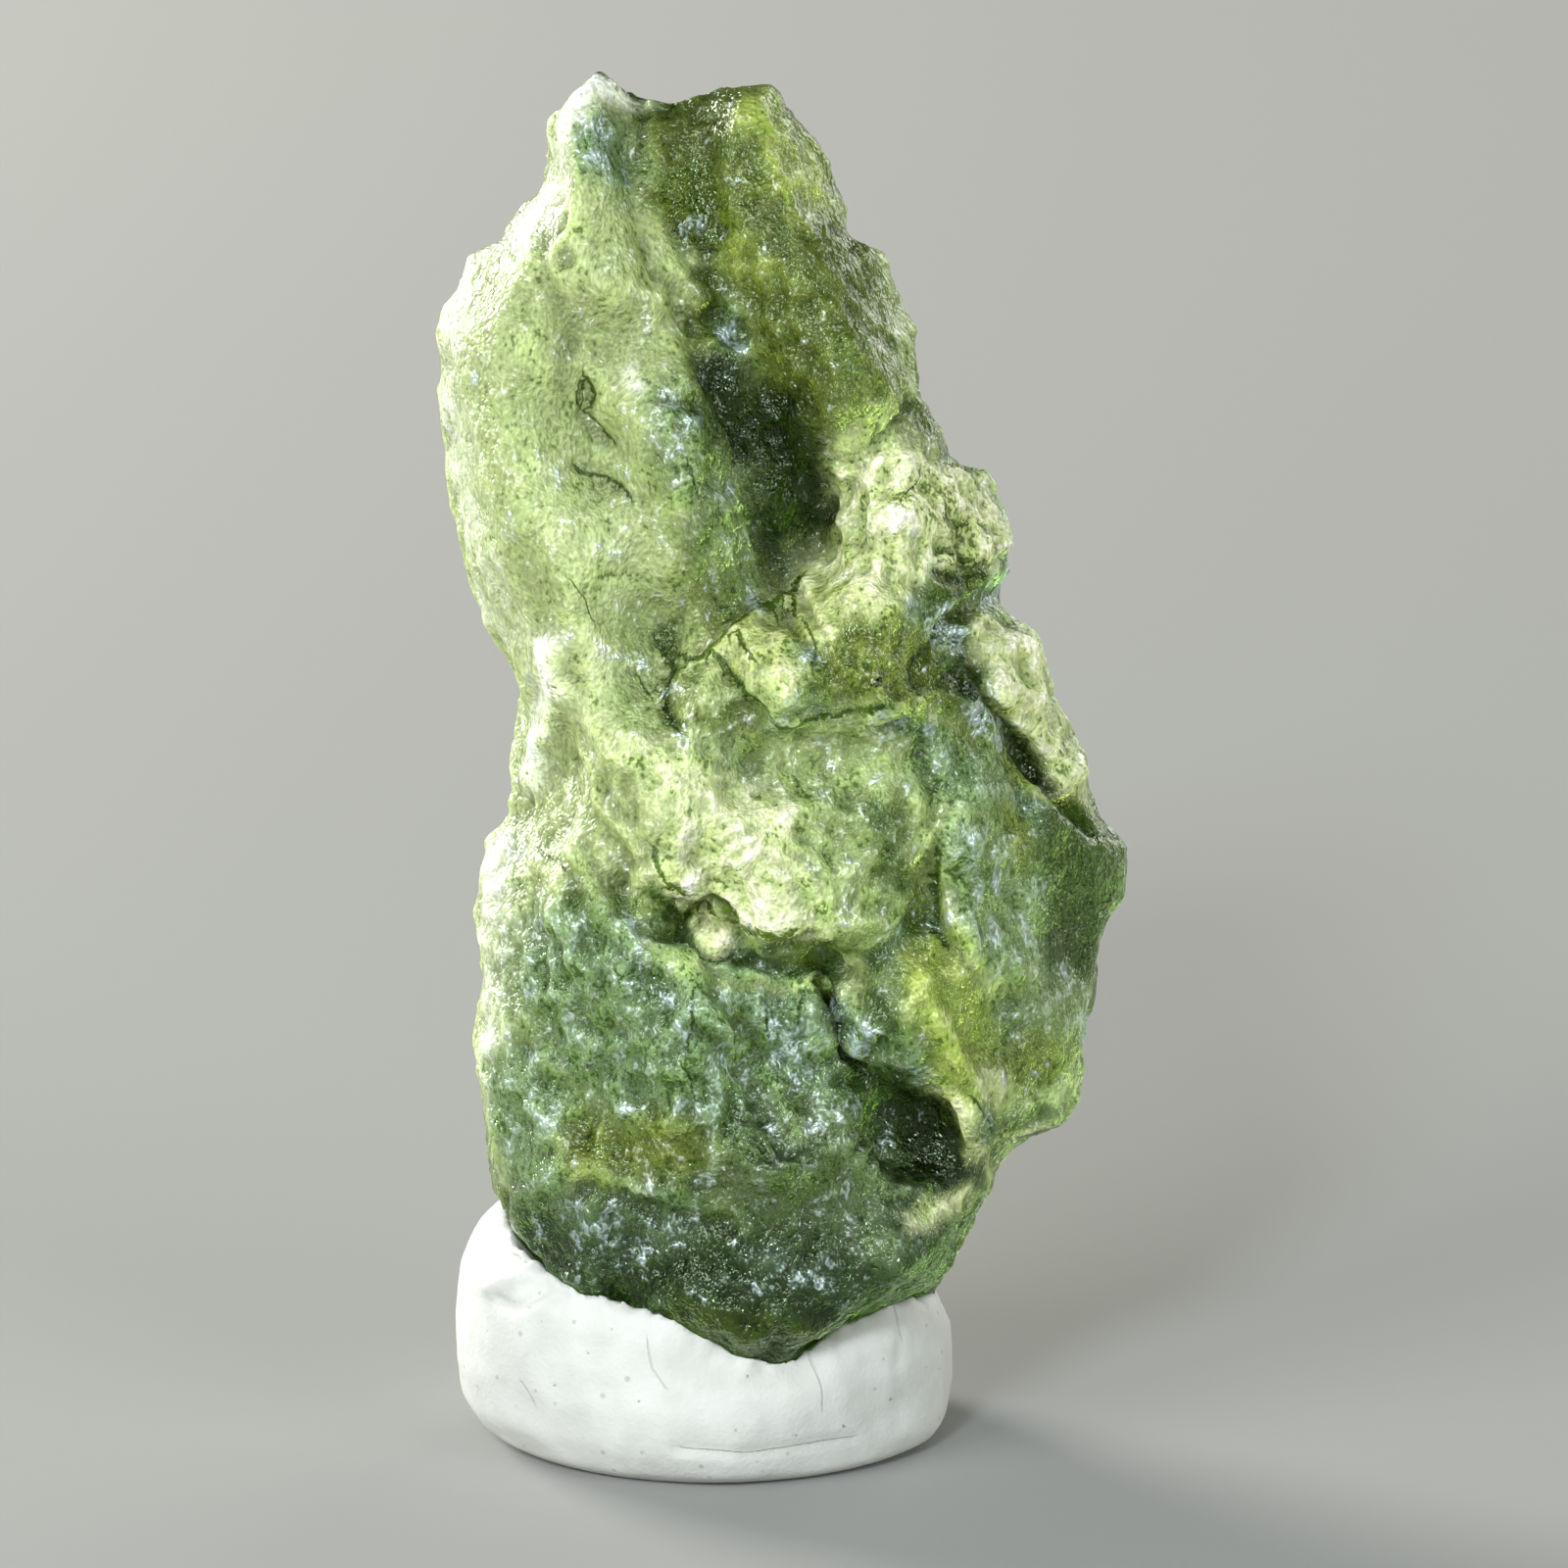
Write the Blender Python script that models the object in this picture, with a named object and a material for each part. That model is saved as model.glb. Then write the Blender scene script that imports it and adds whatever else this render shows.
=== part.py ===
"""A natural moldavite, green glass thrown out by a meteorite, standing in a lump of white mounting putty.

Metres, +Z up. The origin lies on the table, in the middle of the putty's flat base. The stone shows its
sculpted face towards -Y. Places on the stone are written in millimetres, as (x, z) on the face or the back.
"""

import math

import bmesh
import bpy
from mathutils import Vector, noise
from mathutils.bvhtree import BVHTree

MM = 0.001
TINY = 1e-6  # shorter than this is no length at all

# The stone's outline seen square on, anticlockwise from the left-hand peak, in millimetres (x, z).
STONE_OUTLINE = [
    (-2.4, 33.8), (-3.2, 33.2), (-3.8, 32.4), (-4.0, 31.3), (-4.1, 30.7), (-4.9, 29.5), (-5.9, 28.6),
    (-6.1, 27.6), (-6.3, 26.1), (-6.2, 25.0), (-6.0, 24.3), (-5.9, 23.5), (-5.5, 21.9), (-5.2, 20.3),
    (-4.8, 19.5), (-4.4, 18.7), (-4.3, 17.9), (-4.5, 16.6), (-4.5, 15.6), (-5.0, 14.7), (-5.1, 13.9),
    (-5.2, 12.7), (-5.2, 11.3), (-5.4, 9.8), (-5.4, 8.2), (-5.2, 6.9), (-4.8, 5.7), (-4.2, 4.7),
    (-3.2, 3.6), (-1.7, 2.8), (0.1, 2.1), (1.6, 1.7), (3.2, 1.8), (4.7, 2.5), (5.7, 3.6),
    (6.2, 4.9), (6.6, 5.8), (6.9, 6.6), (7.3, 7.1), (8.2, 7.6), (9.0, 8.3), (9.2, 9.0),
    (9.3, 10.2), (9.5, 11.8), (9.7, 12.6), (10.1, 13.0), (10.2, 13.8), (10.1, 14.6), (9.5, 15.3),
    (9.2, 16.3), (8.5, 18.0), (8.0, 19.3), (7.5, 20.3), (6.8, 20.9), (7.2, 21.5), (7.4, 22.1),
    (7.1, 23.1), (6.6, 23.9), (5.8, 24.7), (5.1, 25.5), (5.0, 26.6), (4.6, 28.2), (4.2, 29.1),
    (3.5, 29.7), (3.0, 30.6), (2.7, 31.5), (2.2, 32.5), (1.2, 33.1), (-0.1, 33.0), (-1.0, 32.7),
]
STONE_HEART = (1.2, 16.5)  # every point of the outline is in straight sight of this one
# Height, then how far the face and the back stand from the middle plane there, before carving.
STONE_THICKNESS = [
    (0.0, 7.4, 4.2), (4.0, 6.9, 4.5), (8.0, 5.8, 4.7), (12.0, 5.3, 4.9), (18.0, 4.8, 4.6),
    (24.0, 4.1, 3.9), (30.0, 3.2, 3.0), (35.0, 2.6, 2.3),
]
STONE_FULLNESS = 3.5  # 2 gives an egg's section, more a flatter slab's with a blunter edge
STONE_WARP = 0.9  # how far the middle plane wanders to and fro
STONE_WARP_LENGTH = 11.0
STONE_CARVING_SIZE = 0.40  # the faces that are carved, before they are thinned out
STONE_TRIANGLES = 7800

# Long hollows on the face: path, half width, depth.
FACE_GROOVES = {
    "cleft_from_the_notch": (
        [(-1.0, 33.4), (-0.6, 31.6), (0.4, 28.7), (1.5, 26.3), (2.1, 24.3), (2.4, 22.6)], 2.1, 1.9,
    ),
    "cleft_foot": ([(1.3, 26.4), (2.4, 22.5)], 1.5, 0.9),
    "left_shoulder_trough": ([(-3.1, 29.6), (-2.9, 26.6), (-2.5, 24.6)], 1.1, 0.6),
    "crack_on_the_shoulder": ([(-2.9, 24.6), (-1.6, 23.9)], 0.7, 0.45),
    "waist_trough": ([(-4.6, 20.6), (-3.4, 18.9), (-3.2, 16.9)], 1.5, 0.7),
    "notch_on_the_right": ([(7.6, 21.8), (6.3, 20.9), (6.0, 19.2), (6.9, 17.7), (8.2, 16.9)], 1.2, 1.2),
    "crevice_below_the_hump": ([(2.7, 13.2), (3.2, 11.4), (3.8, 9.9), (4.6, 8.4)], 0.9, 1.1),
    "hollow_low_on_the_right": ([(4.5, 9.2), (5.6, 8.1)], 1.9, 1.2),
    "gutter_along_the_bottom": ([(-2.6, 6.6), (-0.4, 6.0), (1.4, 5.4)], 1.3, 0.5),
    "slope_low_on_the_left": ([(-4.0, 12.2), (-2.6, 10.4), (-1.7, 8.2)], 2.0, 0.6),
}
# Round hollows on the face: middle, radius, depth.
FACE_PITS = {
    "bubble_under_the_ledge": ((-0.1, 13.7), 0.95, 1.0),
    "pocket_beside_the_bubble": ((-1.0, 14.1), 0.8, 0.8),
    "bowl_on_the_right": ((6.4, 14.6), 1.8, 0.9),
    "scoop_by_the_lobe": ((5.4, 18.6), 0.9, 0.4),
    "scoop_high_on_the_right": ((3.1, 30.0), 1.4, 0.6),
    "scoop_on_the_shoulder": ((-1.7, 27.6), 1.2, 0.5),
    "scoop_low_middle": ((1.2, 10.4), 1.5, 0.7),
    "scoop_at_the_foot": ((3.2, 6.8), 1.7, 0.6),
    "scoop_at_the_left_foot": ((-2.4, 8.6), 1.5, 0.5),
}
# Raised parts of the face: path along the top, half width, height.
FACE_RIDGES = {
    "crest_from_the_peak": (
        [(-2.6, 33.0), (-2.9, 30.8), (-4.0, 27.6), (-3.9, 24.0), (-3.3, 21.0), (-1.6, 17.8)], 2.3, 0.8,
    ),
    "rib_beside_the_cleft": ([(1.2, 32.6), (2.7, 29.6), (3.6, 27.2)], 1.8, 0.6),
    "shoulder_face": ([(-1.9, 28.6), (-0.6, 25.6), (0.4, 22.8)], 2.2, 0.6),
    "lobe_on_the_right": ([(6.4, 23.6), (6.2, 22.0), (5.4, 20.8)], 3.2, 1.5),
    "lobe_tongue": ([(4.4, 20.2), (2.8, 19.8), (0.9, 19.6)], 2.2, 0.9),
    "facets_by_the_notch": ([(7.9, 20.0), (8.8, 18.0), (9.2, 15.8)], 1.5, 0.7),
    "hump_over_the_ledge": ([(-0.8, 16.6), (0.9, 15.9), (2.4, 15.4)], 2.9, 0.8),
    "saddle_to_the_right": ([(3.0, 17.2), (5.2, 16.6)], 2.0, 0.5),
    "leaf_beside_the_crescent": ([(6.7, 15.2), (6.9, 13.6)], 1.6, 0.6),
    "rib_to_the_foot": ([(-2.6, 14.4), (-0.9, 12.2), (0.3, 10.2), (1.6, 8.4)], 2.0, 0.7),
    "bulge_low_on_the_right": ([(5.4, 12.3), (6.2, 10.6), (7.2, 9.0)], 1.8, 1.0),
    "arc_at_the_foot": ([(1.0, 8.3), (3.0, 8.4), (4.9, 7.4), (5.3, 5.8)], 1.3, 0.45),
    "keel_at_the_foot": ([(0.4, 4.4), (2.6, 4.0), (4.4, 4.6)], 2.8, 0.6),
}
# Ledges on the face, which drop away to the right of the path: path, drop, reach of the drop, lip.
FACE_LEDGES = {
    "ledge_over_the_cleft": ([(5.6, 25.8), (4.2, 24.4), (3.4, 23.2), (2.6, 22.0)], 0.5, 2.2, 0.0),
    "edge_of_the_lobe": (
        [(2.7, 21.9), (0.9, 21.1), (-0.7, 20.6), (-0.9, 19.6), (-0.4, 18.3)], 0.6, 1.8, 0.0,
    ),
    "lower_edge_of_the_lobe": ([(0.5, 20.3), (1.3, 19.2), (2.4, 18.4), (4.0, 18.6)], 0.6, 1.6, 0.1),
    "ledge_under_the_hump": (
        [(-1.4, 15.2), (-0.3, 14.7), (0.6, 13.9), (1.7, 13.3), (2.9, 13.5)], 1.15, 1.7, 0.3,
    ),
    "crescent": ([(5.4, 16.0), (5.5, 14.8), (5.9, 13.2)], 0.6, 1.3, 0.2),
    "step_by_the_crevice": ([(3.7, 12.6), (3.4, 11.2), (3.4, 9.8)], 0.7, 1.4, 0.2),
}
GROOVE_SHARPNESS = 1.4  # above 1 a groove or a ledge is steep beside its path and runs out gently
LEDGE_SHARPNESS = 1.5
LEDGE_WALL = 0.7  # the width of the steep part of a ledge
SIDE_EDGE = 0.15  # carving fades out where a side of the stone turns away from its own direction
SIDE_FADE = 0.5
DEEPEST_HOLLOW = 0.55  # the share of the way down to the middle plane that a hollow may take

# Flat breaks: a point on the break, then the way that it faces.
STONE_BREAKS = {
    "break_far_right": ((8.6, -2.0, 13.0), (0.72, -0.69, 0.02)),
    "break_low_right": ((7.3, -1.9, 5.6), (0.55, -0.45, -0.70)),
    "break_upper_right": ((4.3, -1.3, 28.4), (0.80, -0.52, 0.30)),
    "break_behind_the_shoulder": ((-4.4, 1.6, 27.6), (-0.66, 0.70, 0.26)),
    "break_behind_low_left": ((-4.2, 2.8, 8.0), (-0.62, 0.77, -0.12)),
}
BREAK_BLUNTNESS = 0.12  # how much of the height above a break is left, so that it isn't quite flat

# The back is made of the same kinds of shape.
BACK_GROOVES = {
    "long_trough": ([(4.6, 27.6), (3.2, 24.0), (2.6, 19.0), (0.6, 14.6)], 2.0, 1.3),
    "cross_trough": ([(-5.0, 22.6), (-2.0, 21.4), (0.6, 22.2)], 1.5, 0.9),
    "foot_trough": ([(6.6, 12.6), (4.4, 9.6), (1.0, 7.6)], 1.9, 1.1),
    "gutter": ([(-4.6, 14.6), (-2.6, 12.0), (-2.2, 8.6)], 1.3, 0.8),
}
BACK_PITS = {
    "upper_scoop": ((-1.6, 29.0), 1.9, 0.9),
    "shoulder_scoop": ((-3.4, 25.4), 1.6, 0.7),
    "middle_scoop": ((-1.4, 17.4), 2.0, 1.0),
    "right_scoop": ((6.6, 17.6), 1.9, 0.9),
    "low_scoop": ((2.6, 11.6), 1.7, 0.8),
    "edge_scoop": ((8.0, 11.4), 1.4, 0.6),
    "small_scoop": ((5.2, 21.2), 1.2, 0.7),
    "foot_scoop": ((-1.2, 6.2), 1.6, 0.6),
}
BACK_RIDGES = {
    "spine": ([(-0.6, 31.6), (-0.4, 27.0), (-0.2, 20.4), (-2.8, 15.0), (-0.2, 10.2)], 1.6, 0.8),
    "right_rib": ([(5.8, 23.2), (4.9, 18.2), (5.6, 14.2), (6.2, 9.6)], 1.5, 0.7),
    "foot_rib": ([(-3.6, 7.0), (1.4, 5.6), (4.6, 6.0)], 1.5, 0.5),
}

# Etching that covers the whole stone: small hollows side by side with sharp rims between them.
SCALLOP_SIZE = 2.5
SCALLOP_STRETCH = 1.3  # they are longer up and down than across
SCALLOP_REACH = 0.7  # where its hollow has risen to its rim, as a share of its size
SCALLOP_DEPTH = 0.62
SCALLOP_RIM_DEPTH = 0.26  # round the outline, whose own points already hold its bumps
SCALLOP_WANDER = 1.1
SWELL_LENGTH = 5.5
SWELL_HEIGHT = 0.45
SWELL_PLACE = (7.0, 3.0, 1.0)  # where in the noise the swells are read

# The putty: a ball squashed flat on the table, with the stone pushed down into it.
PUTTY_PROFILE = [  # radius and height of its side, from the table up
    (5.1, 0.0), (5.6, 0.28), (5.90, 0.95), (6.05, 1.9), (6.02, 2.9), (5.85, 3.8),
    (5.4, 4.4), (4.75, 4.7), (4.0, 4.75), (3.2, 4.75), (2.4, 4.7), (1.6, 4.65), (0.8, 4.6),
]
PUTTY_BASE_RINGS = (1.6, 3.2)
PUTTY_SEGMENTS = 52
PUTTY_DEPTH = 0.90  # its depth from front to back, as a share of its width
PUTTY_LEAN = 0.020  # its top slopes down to the right by this share for each millimetre
PUTTY_HEEL = 0.3  # the foot stands this far to the right of the top
PUTTY_BITE = (2.6, -5.0)  # where the stone's keel has pressed the front rim down: the middle, in x and y
PUTTY_BITE_REACH = 4.0
PUTTY_BITE_DEPTH = 0.8
PUTTY_DENT = 0.30  # finger dents
PUTTY_DENT_LENGTH = 3.4
PUTTY_DENT_PLACE = (2.0, 5.0, 8.0)
PUTTY_FOOT = 1.5  # the dents fade out over this height above the table
PUTTY_LIP = 0.5  # how high the putty is squeezed up round the stone
PUTTY_LIP_REACH = 1.6  # how far from the stone the lip starts
PUTTY_LIP_FLOOR = 3.0  # it grows from this height up
PUTTY_GAP = 0.3  # kept between the putty and the stone
PUTTY_SOCKET_FACE = 0.6  # the faces of the socket


def new_object(name, bm, material):
    mesh = bpy.data.meshes.new(name)
    bm.to_mesh(mesh)
    bm.free()
    mesh.materials.append(material)
    obj = bpy.data.objects.new(name, mesh)
    bpy.context.scene.collection.objects.link(obj)
    return obj


def plain_material(name, colour, roughness, transmission=0.0, ior=1.5):
    material = bpy.data.materials.new(name)
    material.use_nodes = True
    shader = material.node_tree.nodes["Principled BSDF"]
    shader.inputs["Base Color"].default_value = (*colour, 1.0)
    shader.inputs["Roughness"].default_value = roughness
    shader.inputs["Metallic"].default_value = 0.0
    shader.inputs["Transmission Weight"].default_value = transmission
    shader.inputs["IOR"].default_value = ior
    return material


def smoothstep(t):
    t = min(max(t, 0.0), 1.0)
    return t * t * (3.0 - 2.0 * t)


def between(table, height):
    """The row of numbers at this height, blended from the rows of the table above and below it."""
    for low, high in zip(table, table[1:]):
        if height <= high[0]:
            break
    share = smoothstep((height - low[0]) / (high[0] - low[0]))
    return [a + (b - a) * share for a, b in zip(low[1:], high[1:])]


def outline_reach(angle):
    """How far the outline lies from the heart in this direction."""
    way = Vector((math.cos(angle), math.sin(angle)))
    heart = Vector(STONE_HEART)
    reach = 0.0
    for a, b in zip(STONE_OUTLINE, STONE_OUTLINE[1:] + STONE_OUTLINE[:1]):
        start = Vector(a) - heart
        side = Vector(b) - heart - start
        across = way.x * side.y - way.y * side.x
        if abs(across) < TINY:
            continue
        along_side = (start.x * way.y - start.y * way.x) / across
        distance = (start.x * side.y - start.y * side.x) / across
        if -TINY <= along_side <= 1.0 + TINY and distance > 0.0:
            reach = max(reach, distance)
    return reach


def with_even_faces(bm):
    """The same form with square faces of one size."""
    rough = new_object("rough_stone", bm, None)
    remesh = rough.modifiers.new("even_faces", "REMESH")
    remesh.mode = "VOXEL"
    remesh.voxel_size = STONE_CARVING_SIZE
    even = bmesh.new()
    even.from_object(rough, bpy.context.evaluated_depsgraph_get())
    bpy.data.objects.remove(rough)
    return even


def rough_stone():
    """A ball drawn out to the outline. Its unit is the millimetre until it is finished."""
    bm = bmesh.new()
    bmesh.ops.create_icosphere(bm, subdivisions=6, radius=1.0)
    for vert in bm.verts:
        share = math.hypot(vert.co.x, vert.co.z)
        angle = math.atan2(vert.co.z, vert.co.x)
        reach = outline_reach(angle) * share
        x = STONE_HEART[0] + reach * math.cos(angle)
        z = STONE_HEART[1] + reach * math.sin(angle)
        front, back = between(STONE_THICKNESS, z)
        bulge = math.sqrt(max(0.0, 1.0 - share**STONE_FULLNESS))
        place = Vector((x, -front * bulge if vert.co.y < 0.0 else back * bulge, z))
        place.y += STONE_WARP * noise.noise(place / STONE_WARP_LENGTH)
        vert.co = place
    return with_even_faces(bm)


def distance_to_path(point, path):
    """How far a point of the face lies from a path, and on which side: above 0 to the left of it."""
    nearest, side = math.inf, 1.0
    for a, b in zip(path, path[1:]):
        start, step = Vector(a), Vector(b) - Vector(a)
        share = min(max((point - start).dot(step) / step.length_squared, 0.0), 1.0)
        away = point - start - step * share
        if away.length < nearest:
            nearest = away.length
            side = 1.0 if step.x * away.y - step.y * away.x >= 0.0 else -1.0
    return nearest, side


def carved_height(point, grooves, pits, ridges, ledges):
    """How far the carving raises the stone at this point of a side."""
    height = 0.0
    for path, half_width, depth in grooves.values():
        away, _ = distance_to_path(point, path)
        height -= depth * max(0.0, 1.0 - away / half_width) ** GROOVE_SHARPNESS
    for middle, radius, depth in pits.values():
        away = (point - Vector(middle)).length
        height -= depth * max(0.0, 1.0 - (away / radius) ** 2)
    for path, half_width, rise in ridges.values():
        away, _ = distance_to_path(point, path)
        height += rise * smoothstep(1.0 - away / half_width)
    for path, drop, reach, lip in ledges.values():
        away, side = distance_to_path(point, path)
        fade = max(0.0, 1.0 - away / reach) ** LEDGE_SHARPNESS
        on_top = smoothstep(0.5 + side * away / LEDGE_WALL)
        height += fade * (lip * on_top - drop * (1.0 - on_top))
    return height


def carve_side(bm, facing, grooves, pits, ridges, ledges):
    """Carves one side of the stone, the face where facing is -1 and the back where it is 1."""
    bm.normal_update()
    for vert in bm.verts:
        on_this_side = smoothstep((vert.normal.y * facing + SIDE_EDGE) / SIDE_FADE)
        if on_this_side == 0.0:
            continue
        height = carved_height(Vector((vert.co.x, vert.co.z)), grooves, pits, ridges, ledges)
        room = max(0.0, vert.co.y * facing)
        vert.co.y += facing * on_this_side * max(height, -DEEPEST_HOLLOW * room)


def flatten_breaks(bm):
    """Brings what stands above each break down almost to its plane."""
    for point, way in STONE_BREAKS.values():
        normal = Vector(way).normalized()
        for vert in bm.verts:
            above = (vert.co - Vector(point)).dot(normal)
            if above > 0.0:
                vert.co -= normal * above * (1.0 - BREAK_BLUNTNESS)


def etch(bm):
    """Covers the stone with scallops and slow swells."""
    bm.normal_update()
    for vert in bm.verts:
        place = vert.co + SCALLOP_WANDER * noise.noise_vector(vert.co / (2.0 * SCALLOP_SIZE))
        cell = Vector((place.x, place.y, place.z / SCALLOP_STRETCH)) / SCALLOP_SIZE
        nearest = noise.voronoi(cell)[0][0]
        off_the_rim = abs(vert.normal.y)
        depth = SCALLOP_RIM_DEPTH + (SCALLOP_DEPTH - SCALLOP_RIM_DEPTH) * off_the_rim
        scallop = depth * (min(nearest / SCALLOP_REACH, 1.0) ** 2 - 0.5)
        swell = SWELL_HEIGHT * noise.noise(vert.co / SWELL_LENGTH + Vector(SWELL_PLACE))
        vert.co += vert.normal * (scallop + swell * off_the_rim)


def make_stone(material):
    bm = rough_stone()
    carve_side(bm, -1.0, FACE_GROOVES, FACE_PITS, FACE_RIDGES, FACE_LEDGES)
    carve_side(bm, 1.0, BACK_GROOVES, BACK_PITS, BACK_RIDGES, {})
    bm = with_even_faces(bm)
    flatten_breaks(bm)
    etch(bm)
    bmesh.ops.scale(bm, vec=(MM, MM, MM), verts=bm.verts)
    bmesh.ops.triangulate(bm, faces=bm.faces)
    carved_triangles = len(bm.faces)
    stone = new_object("moldavite", bm, material)
    stone.data.shade_smooth()
    thin_out = stone.modifiers.new("thin_out", "DECIMATE")
    thin_out.ratio = STONE_TRIANGLES / carved_triangles
    return stone


def stone_cutter(stone):
    """A hidden copy of the stone, swollen by the gap, that hollows out the putty."""
    cutter = bpy.data.objects.new("stone_cutter", stone.data)
    bpy.context.scene.collection.objects.link(cutter)
    swell = cutter.modifiers.new("gap", "DISPLACE")
    swell.strength = PUTTY_GAP * MM
    swell.mid_level = 0.0
    even = cutter.modifiers.new("even_faces", "REMESH")
    even.mode = "VOXEL"
    even.voxel_size = PUTTY_SOCKET_FACE * MM
    cutter.hide_render = True
    cutter.display_type = "WIRE"
    return cutter


def make_putty(material, stone):
    """A turned lump with a flat base, dented by the fingers and squeezed up a little round the stone."""
    bm = bmesh.new()
    base = [(0.0, 0.0)] + [(radius, 0.0) for radius in PUTTY_BASE_RINGS]
    profile = base + PUTTY_PROFILE + [(0.0, PUTTY_PROFILE[-1][1])]
    points = [bm.verts.new((r, 0.0, z)) for r, z in profile]
    edges = [bm.edges.new(pair) for pair in zip(points, points[1:])]
    bmesh.ops.spin(
        bm, geom=points + edges, cent=(0, 0, 0), axis=(0, 0, 1),
        angle=math.tau, steps=PUTTY_SEGMENTS, use_merge=True,
    )
    bmesh.ops.remove_doubles(bm, verts=bm.verts, dist=TINY)
    bmesh.ops.recalc_face_normals(bm, faces=bm.faces)
    stone_faces = BVHTree.FromObject(stone, bpy.context.evaluated_depsgraph_get())
    for vert in bm.verts:
        dent = PUTTY_DENT * noise.noise(vert.co / PUTTY_DENT_LENGTH + Vector(PUTTY_DENT_PLACE))
        vert.co += vert.normal * dent * smoothstep(vert.co.z / PUTTY_FOOT)
        vert.co.y *= PUTTY_DEPTH
        bite = (vert.co.xy - Vector(PUTTY_BITE)).length / PUTTY_BITE_REACH
        vert.co.z *= 1.0 - PUTTY_LEAN * vert.co.x
        vert.co.z -= PUTTY_BITE_DEPTH * smoothstep(1.0 - bite) * smoothstep(vert.co.z / PUTTY_FOOT - 1.0)
        vert.co.x += PUTTY_HEEL * (1.0 - smoothstep(vert.co.z / PUTTY_FOOT))
        _, _, _, distance = stone_faces.find_nearest(vert.co * MM)
        near = smoothstep(1.0 - distance / (PUTTY_LIP_REACH * MM))
        vert.co.z += PUTTY_LIP * near * smoothstep(vert.co.z - PUTTY_LIP_FLOOR)
    bmesh.ops.scale(bm, vec=(MM, MM, MM), verts=bm.verts)
    putty = new_object("putty", bm, material)
    putty.data.shade_smooth()
    socket = putty.modifiers.new("socket", "BOOLEAN")
    socket.operation = "DIFFERENCE"
    socket.solver = "EXACT"
    socket.object = stone_cutter(stone)


def main():
    for obj in list(bpy.data.objects):
        bpy.data.objects.remove(obj)
    glass = plain_material("green_glass", (0.36, 0.48, 0.12), 0.18, transmission=1.0, ior=1.49)
    clay = plain_material("white_putty", (0.86, 0.87, 0.83), 0.62)
    stone = make_stone(glass)
    make_putty(clay, stone)


main()
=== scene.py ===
"""The looks of a moldavite that stands in a lump of mounting putty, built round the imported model."""

import math

import bmesh
import bpy
import numpy as np
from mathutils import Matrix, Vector, noise
from mathutils.bvhtree import BVHTree


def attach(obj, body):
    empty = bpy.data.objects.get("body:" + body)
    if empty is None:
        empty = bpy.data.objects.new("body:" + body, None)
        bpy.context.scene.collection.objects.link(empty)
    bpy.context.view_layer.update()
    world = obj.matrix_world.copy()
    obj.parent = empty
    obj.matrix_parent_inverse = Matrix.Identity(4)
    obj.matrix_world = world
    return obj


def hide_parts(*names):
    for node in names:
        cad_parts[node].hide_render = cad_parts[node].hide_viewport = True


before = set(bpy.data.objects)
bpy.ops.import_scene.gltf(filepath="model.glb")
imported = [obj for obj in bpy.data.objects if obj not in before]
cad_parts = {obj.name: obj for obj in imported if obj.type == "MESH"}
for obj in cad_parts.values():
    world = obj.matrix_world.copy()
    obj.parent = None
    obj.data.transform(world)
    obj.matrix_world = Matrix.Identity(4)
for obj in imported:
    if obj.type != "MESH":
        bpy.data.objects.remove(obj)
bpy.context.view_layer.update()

# The moldavite
#
# A splash of molten green glass that froze in flight, then lay in gravel while ground water etched it. Its
# solid has the cleft, ledges and bowls. The scallops, creases, bubbles and flow lines that the etching left
# are added here. Nothing but the putty round its foot holds it up.

MM = 0.001
MERGE = 1e-7  # metres within which the CAD's loose corners are one
STONE_FACE = 0.137  # the faces that carry the fine relief, in millimetres, as all sizes on the stone are
STONE_SMOOTHING = 7  # rounds that take the solid's own flat faces away

# Places on the sculpted face are (across, up) on a plane that leans back as the face does.
FACE_LEAN = math.radians(15.0)
FACE_WAY = np.array([0.0, -math.cos(FACE_LEAN), math.sin(FACE_LEAN)])
FACE_UP = np.array([0.0, math.sin(FACE_LEAN), math.cos(FACE_LEAN)])
FACE_TURN = (0.02, 0.35)  # how far a spot may turn away before what is placed on the face fades out

# Steps drop away to the right of their path: path, drop, reach.
STEPS = {
    "left_wall_of_the_cleft": (
        [
            (-1.2, 30.4), (-1.2, 29.1), (-0.7, 27.6), (0.1, 26.2),
            (0.6, 25.2), (1.0, 23.9), (1.3, 22.5), (2.2, 20.6),
        ],
        0.45, 1.2,
    ),
    "upper_edge_of_the_lobe": ([(4.1, 23.2), (3.0, 21.6), (2.4, 20.5), (1.1, 19.7), (0.0, 18.7)], 0.35, 1.0),
    "end_of_the_tongue": ([(-0.5, 19.2), (-0.8, 18.2), (-0.4, 16.8)], 0.15, 0.6),
    "lower_edge_of_the_tongue": (
        [(0.4, 18.5), (1.0, 17.6), (1.8, 16.8), (2.5, 16.6), (3.6, 16.5)], 0.20, 0.6,
    ),
    "crescent": ([(5.8, 14.5), (5.5, 13.4), (5.6, 12.5), (6.1, 11.7)], 0.4, 0.7),
    "jagged_edge_under_the_hump": (
        [
            (-1.0, 13.1), (-0.6, 12.6), (0.2, 12.4), (0.8, 12.1),
            (1.4, 11.7), (2.0, 11.8), (2.7, 11.9), (3.1, 11.6),
        ],
        0.35, 0.7,
    ),
}
STEP_WALL = 0.4  # the width in which a step drops

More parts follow.
